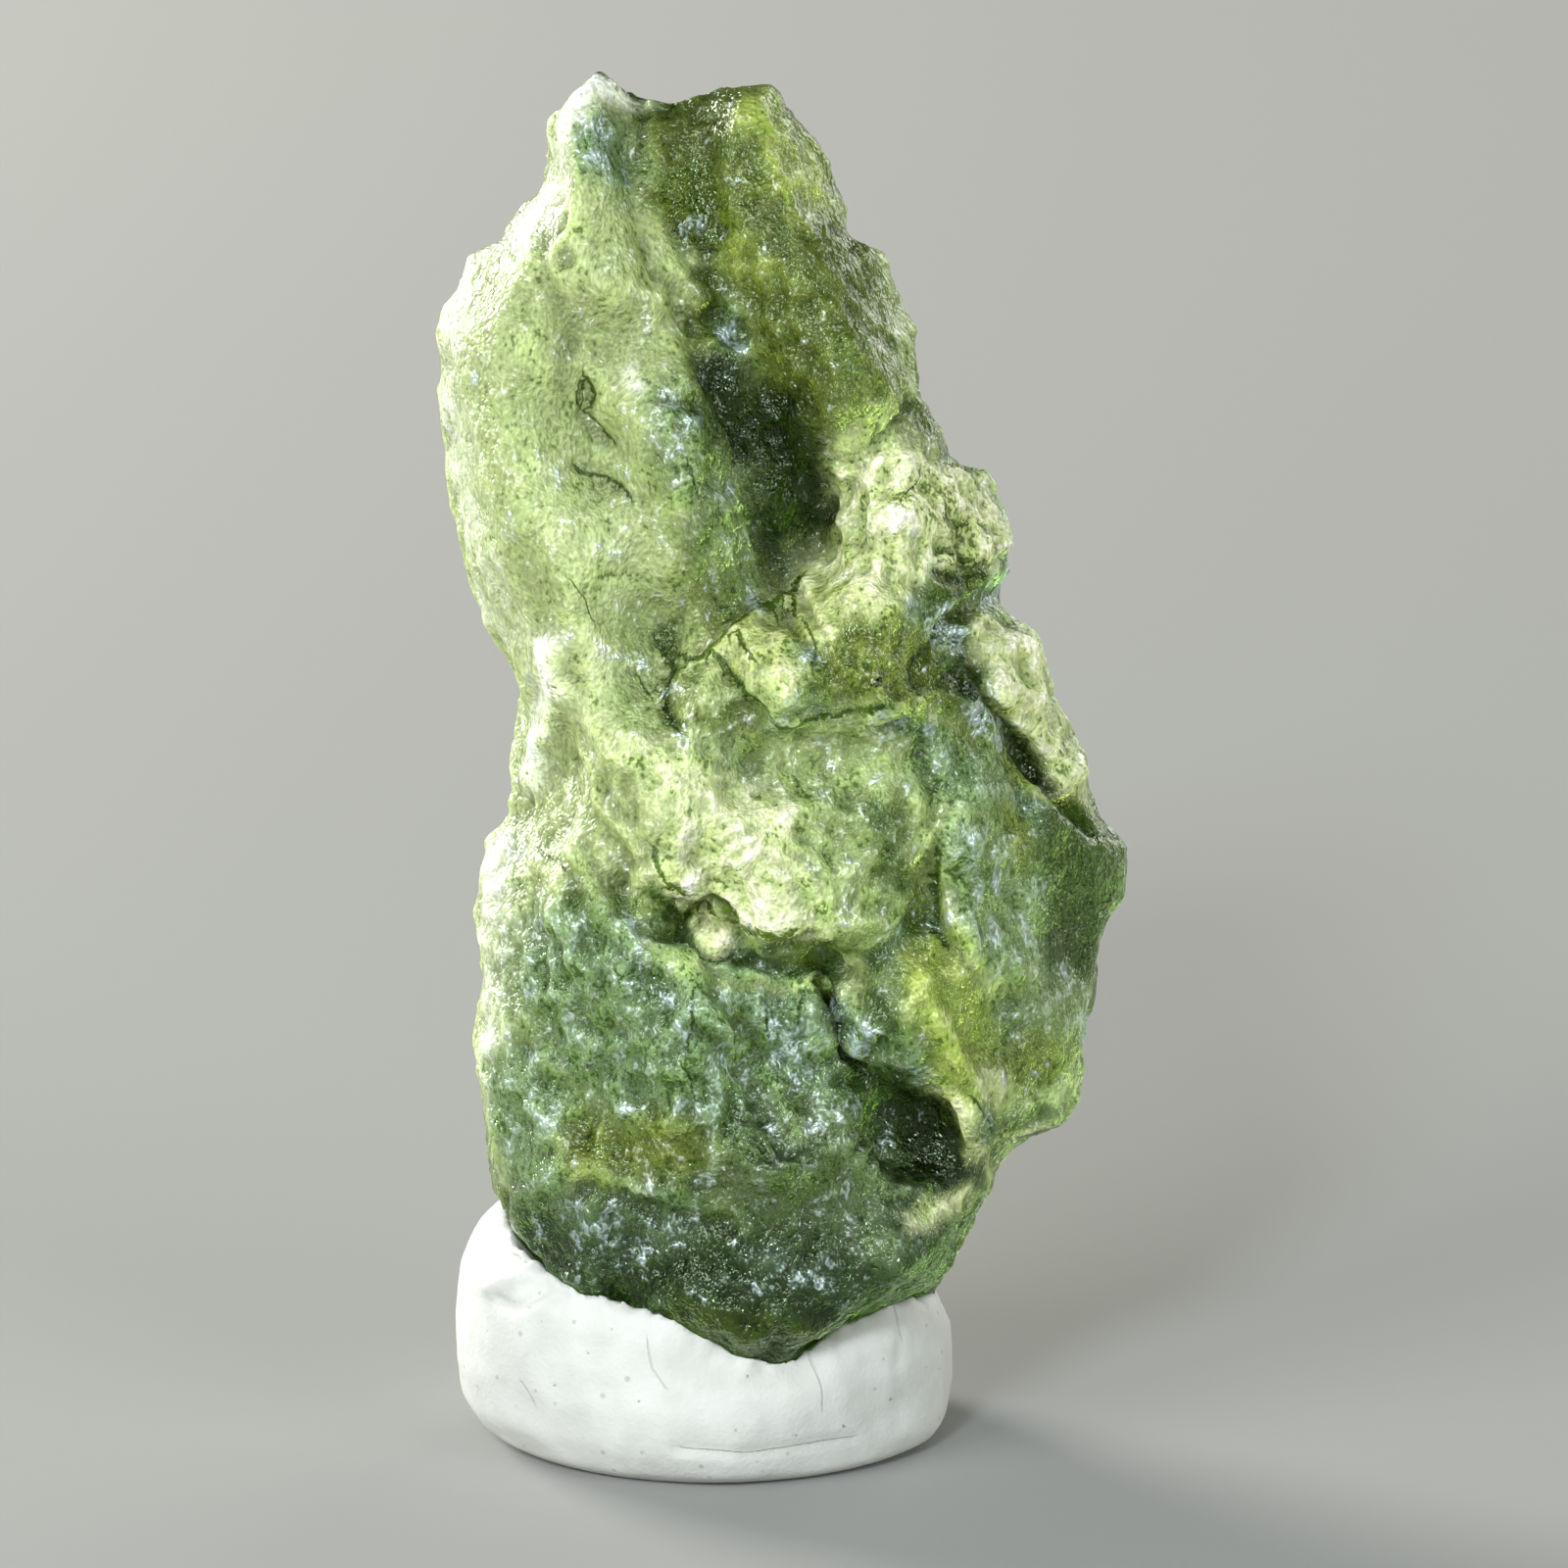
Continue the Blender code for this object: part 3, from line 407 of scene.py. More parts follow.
# Where the looks lie on the sculpted face, each over those before it: look, path, half width, soft edge.
ZONES = {
    "glow_of_the_crest": (
        "frosted", [(-3.7, 30.5), (-4.1, 26.5), (-3.7, 23.0), (-2.9, 19.3), (-2.5, 16.5)], 2.6, 1.6,
    ),
    "shoulder_face": ("frosted", [(-1.6, 28.0), (-1.6, 25.4)], 1.5, 0.8),
    # painted highlight: the white glow along the backlit rims and on the ridge at the waist
    "rim_from_the_peak": (
        "painted_highlight", [(-2.4, 32.1), (-3.4, 31.0), (-3.9, 29.7), (-4.6, 28.7), (-5.7, 27.6), (-6.3, 26.3)],
        0.35, 0.6,
    ),
    "rim_right_of_the_peak": ("painted_highlight", [(-2.1, 32.1), (-1.3, 31.8)], 0.3, 0.2),
    "rim_on_the_left": ("painted_highlight", [(-6.4, 25.5), (-6.1, 23.9), (-5.6, 21.1), (-5.0, 19.0)], 0.45, 0.7),
    "painted_highlight_on_the_ridge": ("painted_highlight", [(-3.6, 18.6), (-3.5, 17.7), (-3.8, 16.7), (-4.0, 15.6)], 0.35, 0.35),
    "rim_low_on_the_left": ("painted_highlight", [(-4.9, 14.1), (-5.2, 11.8), (-5.2, 7.8)], 0.3, 0.8),
    "upper_right": ("olive", [(0.6, 30.9), (2.0, 29.3), (3.0, 26.5), (3.7, 24.4)], 1.9, 0.5),
    # painted shade by the notch
    "moss_by_the_notch": ("moss_green_and_painted_shade", [(-0.4, 29.4), (0.2, 28.6)], 0.7, 0.3),
    # painted glint below the peak
    "painted_glint_below_the_peak": ("painted_glint", [(-2.4, 30.7), (-1.8, 29.8)], 0.5, 0.5),
    "sun_on_the_upper_right": ("yellow_lime", [(1.5, 31.2), (2.7, 29.2)], 0.5, 0.5),
    "rim_facets": ("pale", [(3.4, 30.0), (4.2, 28.2), (4.8, 26.3), (4.9, 24.9)], 0.25, 0.35),
    "sun_beside_the_cleft": ("yellow_lime", [(0.9, 28.0), (1.7, 27.4)], 0.2, 0.5),
    "sun_over_the_lobe": ("pale", [(4.3, 24.1), (3.7, 23.6)], 0.4, 0.5),
    "smoke_beside_the_cleft": ("smoke", [(-0.5, 24.5), (0.1, 23.0), (1.0, 21.5), (2.1, 20.5)], 0.8, 0.5),
    # painted glint, lavender blue, beside the cleft
    "painted_lavender_glint": ("painted_glint", [(-0.4, 24.4), (0.4, 24.1)], 0.3, 0.3),
    # painted shade in the upper cleft
    "upper_cleft": ("moss_green_and_painted_shade", [(0.2, 27.4), (0.5, 26.0)], 0.35, 0.4),
    # painted shade in the cleft and at its foot
    "cleft": ("painted_shade", [(0.6, 25.2), (1.1, 23.8), (1.9, 22.6), (2.4, 21.2)], 0.55, 0.4),
    "foot_of_the_cleft": ("painted_shade", [(1.7, 24.1), (2.2, 22.5), (2.6, 21.2)], 0.85, 0.35),
    # painted glint on the bubble in the cleft
    "bubble_in_the_cleft": ("painted_glint", [(0.7, 26.4), (0.9, 25.8)], 0.25, 0.2),
    # frost, and painted light in the middle of the left where the light falls off
    "left_middle": ("haze_and_painted_light", [(-3.1, 22.6), (-1.8, 20.8), (-2.0, 19.2), (-2.4, 16.8)], 0.7, 0.9),
    "left_of_the_tongue": ("pale", [(-1.4, 19.6), (-1.6, 17.2)], 0.5, 0.5),
    "lobe": ("lime", [(4.3, 22.5), (5.5, 22.1), (6.4, 21.8)], 1.3, 0.4),
    "scales_of_the_lobe": ("scaly", [(5.3, 22.2), (6.4, 21.6), (6.2, 20.6)], 0.7, 0.25),
    "neck_of_the_lobe": ("lime", [(3.1, 20.2), (4.3, 20.7)], 1.1, 0.4),
    # painted shade under the scales
    "under_the_scales": ("moss_green_and_painted_shade", [(5.7, 20.1), (6.6, 20.4)], 0.4, 0.3),
    "tongue": ("honey", [(1.0, 18.7), (1.7, 18.4), (3.1, 19.4)], 0.85, 0.3),
    "tip_of_the_tongue": ("dusty", [(-0.4, 18.0), (0.0, 17.3), (1.0, 16.9)], 0.45, 0.3),
    "pale_over_the_tip": ("honey", [(-0.2, 18.8), (0.1, 19.0)], 0.12, 0.12),
    # painted glint on the tongue
    "painted_glint_on_the_tongue": ("painted_glint", [(2.4, 18.7), (3.0, 18.3)], 0.2, 0.25),
    "pale_on_the_tongue": ("frosted", [(1.5, 18.1), (1.8, 17.4)], 0.3, 0.25),
    # painted shade along the step at the end of the tongue
    "end_of_the_tongue": (
        "moss_green_and_painted_shade", [(-0.9, 19.2), (-0.95, 18.7), (-0.65, 18.2), (-0.8, 17.8), (-0.75, 17.25), (-0.4, 16.8)],
        0.12, 0.12,
    ),
    "right_of_the_tongue": ("olive_lime", [(3.7, 18.2), (5.2, 18.1)], 1.0, 0.3),
    "beside_the_lens": ("moss_green_and_painted_shade", [(5.8, 18.4), (6.0, 17.4)], 0.3, 0.25),
    "lens": ("dark_green_and_painted_shade", [(6.25, 18.5), (6.6, 17.4)], 0.3, 0.15),
    "facets": ("lime", [(7.6, 19.0), (8.3, 17.2), (9.0, 15.5)], 0.9, 0.25),
    # painted shade in the crevice beside the facets
    "crevice_beside_the_facets": (
        "painted_shade", [(6.4, 18.8), (6.4, 17.9), (6.9, 17.3), (7.6, 16.3), (8.4, 15.4)], 0.2, 0.15,
    ),
    # painted glitter at the notch and beside the facets
    "glint_at_the_notch": ("painted_glitter", [(5.7, 19.4), (6.3, 19.1)], 0.35, 0.12),
    "glint_beside_the_facets": ("painted_glitter", [(6.5, 17.1), (7.1, 16.5)], 0.28, 0.12),
    "saddle": ("pale", [(2.1, 16.0), (5.0, 16.2)], 1.0, 0.6),
    # painted glint on the saddle
    "painted_glint_on_the_saddle": ("painted_glint", [(4.4, 16.9), (5.4, 16.5)], 0.3, 0.3),
    "right_of_the_saddle": ("bluish", [(5.7, 16.0), (6.6, 15.5)], 0.7, 0.4),
    # painted glint over the break
    "painted_glint_over_the_break": ("painted_glint", [(7.6, 15.1), (8.2, 14.7)], 0.3, 0.15),
    "hump": ("cream", [(-1.3, 14.8), (0.6, 14.1), (2.0, 13.2)], 1.6, 0.5),
    "left_of_the_hump": ("frosted", [(-2.7, 15.5), (-1.8, 14.1)], 1.2, 0.6),
    "right_of_the_hump": ("pale", [(3.1, 14.1), (3.6, 12.5)], 0.9, 0.5),
    "olive_spot": ("moss_green_and_painted_shade", [(4.2, 13.9), (4.2, 13.5)], 0.12, 0.2),
    "leaf": ("leaf", [(6.4, 13.9), (7.2, 11.9)], 0.9, 0.25),
    # painted glint on the leaf
    "painted_glint_on_the_leaf": ("painted_glint", [(6.3, 14.0), (6.6, 13.2)], 0.25, 0.35),
    "band_by_the_crescent": ("moss_green_and_painted_shade", [(5.2, 12.9), (5.2, 12.1)], 0.22, 0.2),
    "break": ("break", [(9.0, 14.3), (9.3, 12.9), (9.1, 11.6)], 1.0, 0.3),
    "below_the_break": ("smoke", [(8.6, 10.2), (8.1, 9.2)], 0.9, 0.4),
    "slope": ("bluish", [(-2.7, 11.0), (-1.8, 9.4), (0.6, 9.7), (1.5, 9.2)], 1.8, 0.8),
    # painted glints at the rib, under the ledge and beside the crevice
    "painted_glint_at_the_rib": ("painted_glint", [(-1.6, 11.0), (-0.6, 10.2), (0.5, 8.8)], 0.2, 0.45),
    "painted_glint_under_the_ledge": ("painted_glint", [(1.7, 10.2), (2.4, 8.7)], 0.35, 0.35),
    "painted_glint_beside_the_crevice": ("painted_glint", [(3.5, 10.2), (4.0, 9.5)], 0.25, 0.2),
    # painted shade in the pocket of pits
    "pocket": ("dark_green_and_painted_shade", [(-1.0, 13.3), (-0.8, 12.4)], 0.25, 0.2),
    # painted highlight on the bubble, which lies in the shadow of the hump
    "bubble": ("painted_bubble_light", [(0.0, 12.3), (0.2, 11.9)], 0.38, 0.12),
    "shadow_under_the_hump": ("painted_shade", [(0.8, 11.3), (1.4, 11.4), (2.1, 11.8)], 0.08, 0.12),
    # painted shade in the square pit
    "square_pit": ("moss_green_and_painted_shade", [(2.4, 11.5), (2.7, 11.0)], 0.25, 0.12),
    # painted shade in the crevice and the hollow
    "crevice": ("painted_shade", [(2.6, 11.1), (2.9, 10.3), (3.1, 9.6), (3.4, 9.0), (4.0, 8.5)], 0.28, 0.15),
    "hollow": ("painted_shade", [(4.4, 8.0), (5.0, 7.2), (5.9, 6.7)], 0.85, 0.35),
    # painted shade beside the hollow and low in the middle
    "beside_the_hollow": ("dark_green_and_painted_shade", [(3.6, 8.4), (4.0, 7.0)], 0.5, 0.5),
    "low_middle_dark": ("dark_green_and_painted_shade", [(0.8, 7.7), (1.5, 7.3)], 0.25, 0.5),
    "grey_green_low_in_the_middle": ("smoke", [(2.3, 7.7), (3.1, 6.9)], 0.5, 0.5),
    "bulge": ("yellow_lime", [(5.5, 11.2), (6.0, 9.8), (6.4, 8.6)], 0.85, 0.35),
    "below_the_bulge": ("olive_lime", [(7.2, 8.6), (8.3, 8.9)], 0.6, 0.4),
    "arm_below_the_bulge": ("lime", [(5.5, 8.1), (6.1, 7.5), (6.6, 6.8)], 0.22, 0.30),
    "patch_over_the_low_ridge": ("lime", [(6.7, 8.5), (7.1, 8.3)], 0.30, 0.35),
    "low_ridge": ("pale", [(7.4, 7.9), (8.0, 8.0), (8.7, 8.3)], 0.32, 0.30),
    "rim_under_the_low_ridge": ("lime", [(8.4, 7.3), (7.4, 6.9), (6.9, 6.0)], 0.16, 0.30),
    "green_low_on_the_left": ("bluish", [(-4.2, 8.4), (-4.0, 6.4)], 0.9, 0.6),
    "moss_patch": ("olive_lime", [(-2.6, 6.9), (-0.5, 6.9)], 0.7, 0.5),
    # painted shade along the foot
    "foot": ("dark_green_and_painted_shade", [(-4.0, 4.4), (-2.2, 4.0), (0.1, 3.7), (3.1, 3.7), (5.2, 4.1)], 1.3, 0.8),
    "foot_on_the_right": ("grey_green", [(1.6, 6.6), (3.0, 6.1), (4.2, 5.4)], 1.1, 0.6),
    # painted sheen on the foot
    "painted_sheen_on_the_foot": ("sheen", [(-3.1, 5.2), (-1.8, 4.7), (-0.4, 5.0)], 0.5, 0.5),
    "painted_sheen_low_on_the_foot": ("sheen", [(1.7, 4.2), (3.1, 4.0)], 0.3, 0.5),
    "arcs_low_on_the_right": ("lime", [(5.2, 5.3), (6.1, 5.6)], 0.3, 0.3),
    # painted highlight: a white glint on the shoulder
    "glint_on_the_shoulder": ("painted_highlight", [(-1.8, 25.1), (-1.5, 24.8)], 0.2, 0.2),
    "lip_below_the_pocket": ("pale", [(-1.4, 11.9), (-0.4, 11.1), (1.0, 10.8), (2.7, 10.6)], 0.15, 0.2),
    # painted shade where the stone goes into the putty
    "edge_in_the_putty": ("moss_green_and_painted_shade", [(-0.4, 3.2), (1.3, 2.6), (2.7, 2.5)], 0.3, 0.3),
}
BROAD_WOBBLE = 0.25  # how far the edges of the zones wander
FINE_WOBBLE = 0.12
LINE_REACH = 0.30  # how far from a thin dark line it is looked for

# Thin dark lines, where the glass cracked, and painted shade where one scale laps the next, round the bubble
# and in the crevices: path and half width.
LINES = {
    "squiggle_right": ([(-2.7, 25.1), (-2.5, 24.6), (-2.6, 24.2), (-2.3, 23.8), (-2.1, 23.5)], 0.03),
    "squiggle_left": ([(-2.8, 25.0), (-2.9, 24.6), (-2.7, 24.2), (-2.5, 24.0)], 0.025),
    "brown_crack": ([(-2.9, 23.0), (-2.6, 22.8), (-2.2, 22.7), (-1.7, 22.3)], 0.035),
    "stroke_in_the_cleft": ([(0.1, 24.5), (0.3, 24.0), (0.5, 23.8)], 0.05),
    "second_stroke_in_the_cleft": ([(0.7, 24.1), (1.0, 23.5), (1.3, 23.1)], 0.05),
    "brown_stroke": ([(-0.2, 22.9), (-0.1, 22.5), (0.1, 22.2)], 0.05),
    "top_of_the_tongue": (
        [(2.4, 20.5), (1.8, 20.0), (1.2, 19.7), (0.3, 18.9), (-0.1, 18.5), (-0.5, 18.6)], 0.07,
    ),
    "left_of_the_tongue": ([(-1.0, 18.8), (-0.8, 18.3), (-0.85, 17.8), (-0.8, 17.3), (-0.5, 16.8)], 0.06),
    "under_the_tongue": (
        [
            (0.3, 18.6), (0.55, 18.1), (0.95, 17.6), (1.45, 17.2),
            (1.9, 16.9), (2.3, 16.8), (3.1, 16.9), (4.3, 17.1),
        ],
        0.06,
    ),
    "crack_in_the_tongue": ([(0.9, 19.1), (1.0, 18.8), (1.2, 18.5)], 0.06),
    "second_crack_in_the_tongue": ([(2.4, 19.5), (2.6, 18.9), (2.6, 18.4)], 0.03),
    "third_crack_in_the_tongue": ([(1.7, 19.9), (1.8, 19.5)], 0.04),
    "fourth_crack_in_the_tongue": ([(2.2, 20.3), (2.2, 19.8)], 0.04),
    "upper_crescent": ([(5.8, 22.1), (5.9, 21.8), (6.2, 21.7)], 0.05),
    "lower_crescent": ([(5.8, 21.7), (6.0, 21.5), (6.3, 21.6)], 0.06),
    "first_scale": ([(5.7, 21.0), (6.1, 21.0), (6.4, 20.8)], 0.09),
    "second_scale": ([(5.6, 20.5), (6.1, 20.3), (6.5, 20.4)], 0.09),
    "third_scale": ([(5.9, 19.9), (6.4, 19.9), (6.9, 20.3)], 0.07),
    "scale_on_the_rim": ([(6.6, 21.6), (6.9, 21.1), (6.9, 20.7)], 0.05),
    "edge_of_the_lobe": ([(4.7, 22.1), (5.0, 22.6), (5.1, 22.9)], 0.02),
    "in_the_crevice": ([(6.2, 18.8), (6.2, 18.2), (6.4, 17.6), (6.9, 17.3)], 0.10),
    "left_of_the_lens": ([(5.6, 18.9), (5.3, 18.5), (5.2, 18.1), (5.35, 17.6)], 0.08),
    "right_of_the_lens": ([(6.5, 18.8), (6.8, 18.2), (6.8, 17.5), (6.6, 17.2)], 0.05),
    "in_the_low_ridge": ([(6.3, 8.0), (6.7, 7.6), (6.8, 7.0)], 0.04),
    "over_the_pocket": ([(-1.1, 13.9), (-0.8, 13.4), (-0.3, 13.2)], 0.05),
    "zigzag": ([(0.0, 12.8), (0.5, 12.5), (0.8, 12.1), (1.3, 12.0), (1.8, 11.9), (2.2, 12.0)], 0.09),
    "left_of_the_bubble": (
        [(-0.1, 12.75), (-0.35, 12.5), (-0.45, 12.1), (-0.35, 11.7), (0.0, 11.45)], 0.10,
    ),
    "right_of_the_bubble": ([(0.0, 11.45), (0.4, 11.4), (0.75, 11.5)], 0.07),
    "under_the_square_pit": ([(2.6, 10.7), (3.0, 10.2), (3.1, 9.5), (3.3, 9.1), (3.7, 8.8)], 0.15),
    "line_of_the_crescent": ([(5.6, 13.8), (5.5, 13.0), (5.5, 12.2), (5.7, 11.8)], 0.07),
    "line_high_on_the_left": ([(-3.7, 13.9), (-3.5, 13.8), (-3.3, 13.6)], 0.05),
    "line_on_the_slope": ([(-0.4, 8.8), (-0.2, 8.5), (-0.1, 8.1)], 0.04),
    "line_below_the_rib": ([(-0.2, 10.6), (-0.1, 10.0), (-0.3, 9.4)], 0.03),
    "line_under_the_ledge": ([(1.6, 10.3), (1.6, 9.7)], 0.03),
    "second_line_under_the_ledge": ([(2.3, 10.4), (2.3, 9.8)], 0.03),
    "line_beside_the_waist": ([(-3.0, 20.3), (-2.7, 19.9), (-2.5, 19.4)], 0.015),
    "second_line_beside_the_waist": ([(-1.4, 18.1), (-1.2, 17.6)], 0.03),
}

# The columns of the tone, which holds a look for each vertex.
THROUGH = slice(0, 3)
SKIN = slice(3, 6)
COLOURS = slice(0, 6)
FROST, ROUGHNESS, GLINTING, MARKED = 6, 7, 8, 9

# The relief that changes the tone: rounds that flatten the surface to measure from, height of a full crest.
FINE_RELIEF = (10, 0.05)
BROAD_RELIEF = (60, 0.20)
# painted highlight on crests and painted shade in hollows, from the relief
RELIEF_PAINTED_SHADING = 0.45  # how much paler a full crest is, and how much darker a full hollow
RELIEF_FROST = 0.15
FLOW_STRETCH = (1.0, 1.0, 0.8)  # the shader's noise is a little longer up and down
FLOW_BEND = 0.12


def laid_over(tone, look, share):
    """The tone with a share of a look over it."""
    through, skin, *rest = LOOKS[look]
    return tone + share[:, None] * (np.array([*through, *skin, *rest]) - tone)


def nearest_line(points, lines, reach):
    """How far each point is beside the nearest line, in half widths, and whether one is within reach."""
    beside = np.full(len(points), np.inf)
    offset = np.zeros(len(points))
    for path, half_width in lines.values():
        distance, side = along_path(points, path)
        nearer = distance < beside
        beside[nearer] = distance[nearer]
        offset[nearer] = (side * distance)[nearer] / half_width
    return offset, fading(beside, reach, hold=2.0)


def relief_of(places, normals, rounds, full_height):
    """How far each place stands out of the flattened surface, as a share of a full crest's height."""
    return np.sum((places - neighbours.average(places, rounds)) * normals, axis=1) / full_height


line, lined = nearest_line(on_face, LINES, LINE_REACH)

upright = places * DRIFT_STRETCH
drift = np.hstack([
    vector_noise(upright, size=4.5, corner=(2.0, 8.0, 3.0)),
    vector_noise(upright, size=2.8, corner=(8.0, 1.0, 6.0)),
])
drift += DRIFT_BREAKUP * np.hstack([broken, wobble])
tone = laid_over(0.0, "pale", np.ones(len(places)))
for look, column, level in REST_OF_STONE:
    tone = laid_over(tone, look, smoothstep((drift[:, column] - level) / DRIFT_EDGE))
# Frost, and painted light: the side that faces the key light on the left is paler and hazier.
left_frost_and_painted_light = smoothstep(-1.4 * normals[:, 0] + 0.5 * drift[:, 1] - 0.3)
tone = laid_over(tone, "frosted", left_frost_and_painted_light)
# Painted shade: the glass is darker towards the bottom.
painted_shade_low_down = smoothstep(1.3 - places[:, 2] / 10.0 + 0.6 * drift[:, 2])
tone = laid_over(tone, "dark_green_and_painted_shade", painted_shade_low_down)
on_face = on_face + BROAD_WOBBLE * vector_noise(places, size=1.1, corner=(7.0, 4.0, 1.0))[:, :2]
on_face = on_face + FINE_WOBBLE * vector_noise(places, size=0.45, corner=(3.0, 6.0, 2.0))[:, :2]
for look, path, half_width, soft in ZONES.values():
    distance, _ = along_path(on_face, path)
    tone = laid_over(tone, look, smoothstep((half_width + soft - distance) / (2.0 * soft)) * facing)

# Crests are worn and pale, with more frost and a painted highlight, and hollows are darkened with painted
# shade.
normals = read_vertices(moldavite.data, "normal")
fine = relief_of(places, normals, *FINE_RELIEF)
broad = relief_of(places, normals, *BROAD_RELIEF)
relief = np.clip(0.6 * fine + 0.4 * broad, -1.0, 1.0)
tone[:, COLOURS] *= 1.0 + RELIEF_PAINTED_SHADING * relief[:, None]
tone[:, FROST] += RELIEF_FROST * np.clip(relief, 0.0, 1.0)
tone = np.clip(tone, 0.001, 1.1)


def store_colour(mesh, name, colours):
    attribute = mesh.attributes.new(name, "FLOAT_COLOR", "POINT")
    attribute.data.foreach_set("color", np.column_stack([colours, np.ones(len(colours))]).ravel())


def store_value(mesh, name, values):
    mesh.attributes.new(name, "FLOAT", "POINT").data.foreach_set("value", values)


store_colour(moldavite.data, "through", tone[:, THROUGH])
store_colour(moldavite.data, "skin", tone[:, SKIN])
store_value(moldavite.data, "frost", tone[:, FROST])
store_value(moldavite.data, "roughness", tone[:, ROUGHNESS])
store_value(moldavite.data, "glinting", tone[:, GLINTING])
store_value(moldavite.data, "marked", tone[:, MARKED])
store_value(moldavite.data, "line", line)
store_value(moldavite.data, "lined", lined * facing)
flow = places * FLOW_STRETCH + FLOW_BEND * vector_noise(places, size=0.9, corner=(1.0, 3.0, 9.0))
moldavite.data.attributes.new("flow", "FLOAT_VECTOR", "POINT").data.foreach_set("vector", flow.ravel())
write_vertices(moldavite.data, places * MM)
moldavite.data.shade_smooth()


class Socket:
    """A node's output in an expression: a sum or product of sockets and numbers adds its Math node."""

    def __init__(self, tree, link):
        self.tree = tree
        self.link = link

    def _math(self, operation, *values):
        return self.tree.node("ShaderNodeMath", {"operation": operation}, dict(enumerate(values)))

    def __add__(self, other):
        return self._math("ADD", self, other)

    def __radd__(self, other):
        return self._math("ADD", other, self)

    def __sub__(self, other):
        return self._math("SUBTRACT", self, other)

    def __rsub__(self, other):
        return self._math("SUBTRACT", other, self)

    def __mul__(self, other):
        return self._math("MULTIPLY", self, other)

    def __rmul__(self, other):
        return self._math("MULTIPLY", other, self)

    def __abs__(self):
        return self._math("ABSOLUTE", self)


class Tree:
    """A material's nodes. node() adds one of any type and gives back the output that is asked for."""

    def __init__(self, name):
        self.material = bpy.data.materials.new(name)
        self.material.use_nodes = True
        self.nodes = self.material.node_tree.nodes
        self.nodes.clear()

    def node(self, kind, settings=None, inputs=None, out=0):
        node = self.nodes.new(kind)
        for key, value in (settings or {}).items():
            setattr(node, key, value)
        for key, value in (inputs or {}).items():
            if isinstance(value, Socket):
                self.material.node_tree.links.new(value.link, node.inputs[key])
            else:
                node.inputs[key].default_value = value
        return Socket(self, node.outputs[out]) if node.outputs else None

    def attribute(self, name, out="Fac"):
        """What the mesh stores under a name: a value, or with out a colour or a vector."""
        return self.node("ShaderNodeAttribute", {"attribute_name": name}, out=out)

    def noise(self, place, scale, detail, roughness=0.5):
        settings = {"Vector": place, "Scale": scale, "Detail": detail, "Roughness": roughness}
        return self.node("ShaderNodeTexNoise", {}, settings, out="Fac")

    def between(self, value, low, high, to_low=0.0, to_high=1.0):
        """The value from low to high, run smoothly onto to_low to to_high."""
        return self.node(
            "ShaderNodeMapRange",
            {"interpolation_type": "SMOOTHSTEP"},
            {"Value": value, "From Min": low, "From Max": high, "To Min": to_low, "To Max": to_high},
        )

    def mix(self, share, a, b, blend="MIX"):
        """Two colours mixed."""
        return self.node(
            "ShaderNodeMix",
            {"data_type": "RGBA", "blend_type": blend},
            {"Factor": share, 6: a, 7: b},
            out=2,
        )

    def tinted(self, share, colour, tint):
        """A colour multiplied by a share of a tint."""
        return self.mix(share, colour, tint, "MULTIPLY")

    def shade(self, colour, by):
        """A colour made lighter or darker by a number."""
        return self.node("ShaderNodeVectorMath", {"operation": "SCALE"}, {0: colour, "Scale": by})

    def bump(self, height):
        """A Normal from a height in millimetres."""
        inputs = {"Strength": 1.0, "Distance": MM, "Height": height}
        return self.node("ShaderNodeBump", {}, inputs, out="Normal")


GLASS_IOR = 1.49
GLASS_SHINE = (0.80, 1.0, 0.72, 1.0)
DEPTH_COLOUR = (0.56, 0.68, 0.33, 1.0)
DEPTH_DENSITY = 150.0  # to the metre: a centimetre of the glass takes half the red and two thirds of the blue
THICK_TINT = (0.70, 0.81, 0.50, 1.0)
THIN_TINT = (1.22, 1.17, 1.26, 1.0)
MARK_TINT = (0.16, 0.24, 0.03, 1.0)
# the dark of the cracks and of the painted shade lines
LINE_TINT = (0.14, 0.21, 0.03, 1.0)
# painted glint colour: the pale blue-grey of a reflected lamp
PAINTED_GLINT_COLOUR = (0.60, 0.71, 0.74, 1.0)
DUST = (0.75, 0.80, 0.70, 1.0)

glass = Tree("etched_green_glass")
flowing = glass.attribute("flow", "Vector")
folds = glass.noise(flowing, scale=1.9, detail=3.0, roughness=0.6)
grain = glass.noise(flowing, scale=8.0, detail=1.0, roughness=0.65)
glinting = glass.attribute("glinting")
marked = glass.attribute("marked")

# Lines are the placed cracks and painted shade lines, made crooked by the grain. Marks are fine threads along
# the folds, and spots.
crooked = glass.attribute("line") + (grain - 0.5) * 4.0
lines = glass.between(abs(crooked), 0.5, 1.3, 1.0, 0.0) * glass.attribute("lined")
threads = glass.between(abs(folds - 0.5), 0.0, 0.03, 1.0, 0.0) * glass.between(grain, 0.45, 0.55) * marked
spots = glass.between(folds * 0.5 + grain * 0.5 - marked * 0.12, 0.33, 0.38, 1.0, 0.0)
marks = spots * 0.75 + threads

# The painted glint of etched facets is a pale blue-grey colour with some metal shine, and specks are dust in
# the finest pits.
painted_glint = glass.between(folds * 0.65 + grain * 0.35 + glinting * 0.13, 0.57, 0.69)
specks = glass.between(grain, 0.72, 0.80)
bump = glass.bump(folds * 0.28 + grain * 0.08 - lines * 0.04)

# The mottle of thin and thick glass is weaker where the surface is rough and hazy.
hazy = glass.between(glass.attribute("roughness"), 0.2, 0.4)
thin = glass.between(folds, 0.34, 0.66)
thickness = glass.mix(thin + hazy * (0.6 - thin) * 0.6, THICK_TINT, THIN_TINT)
shade = glass.between(grain, 0.3, 0.7, 0.75, 1.25)


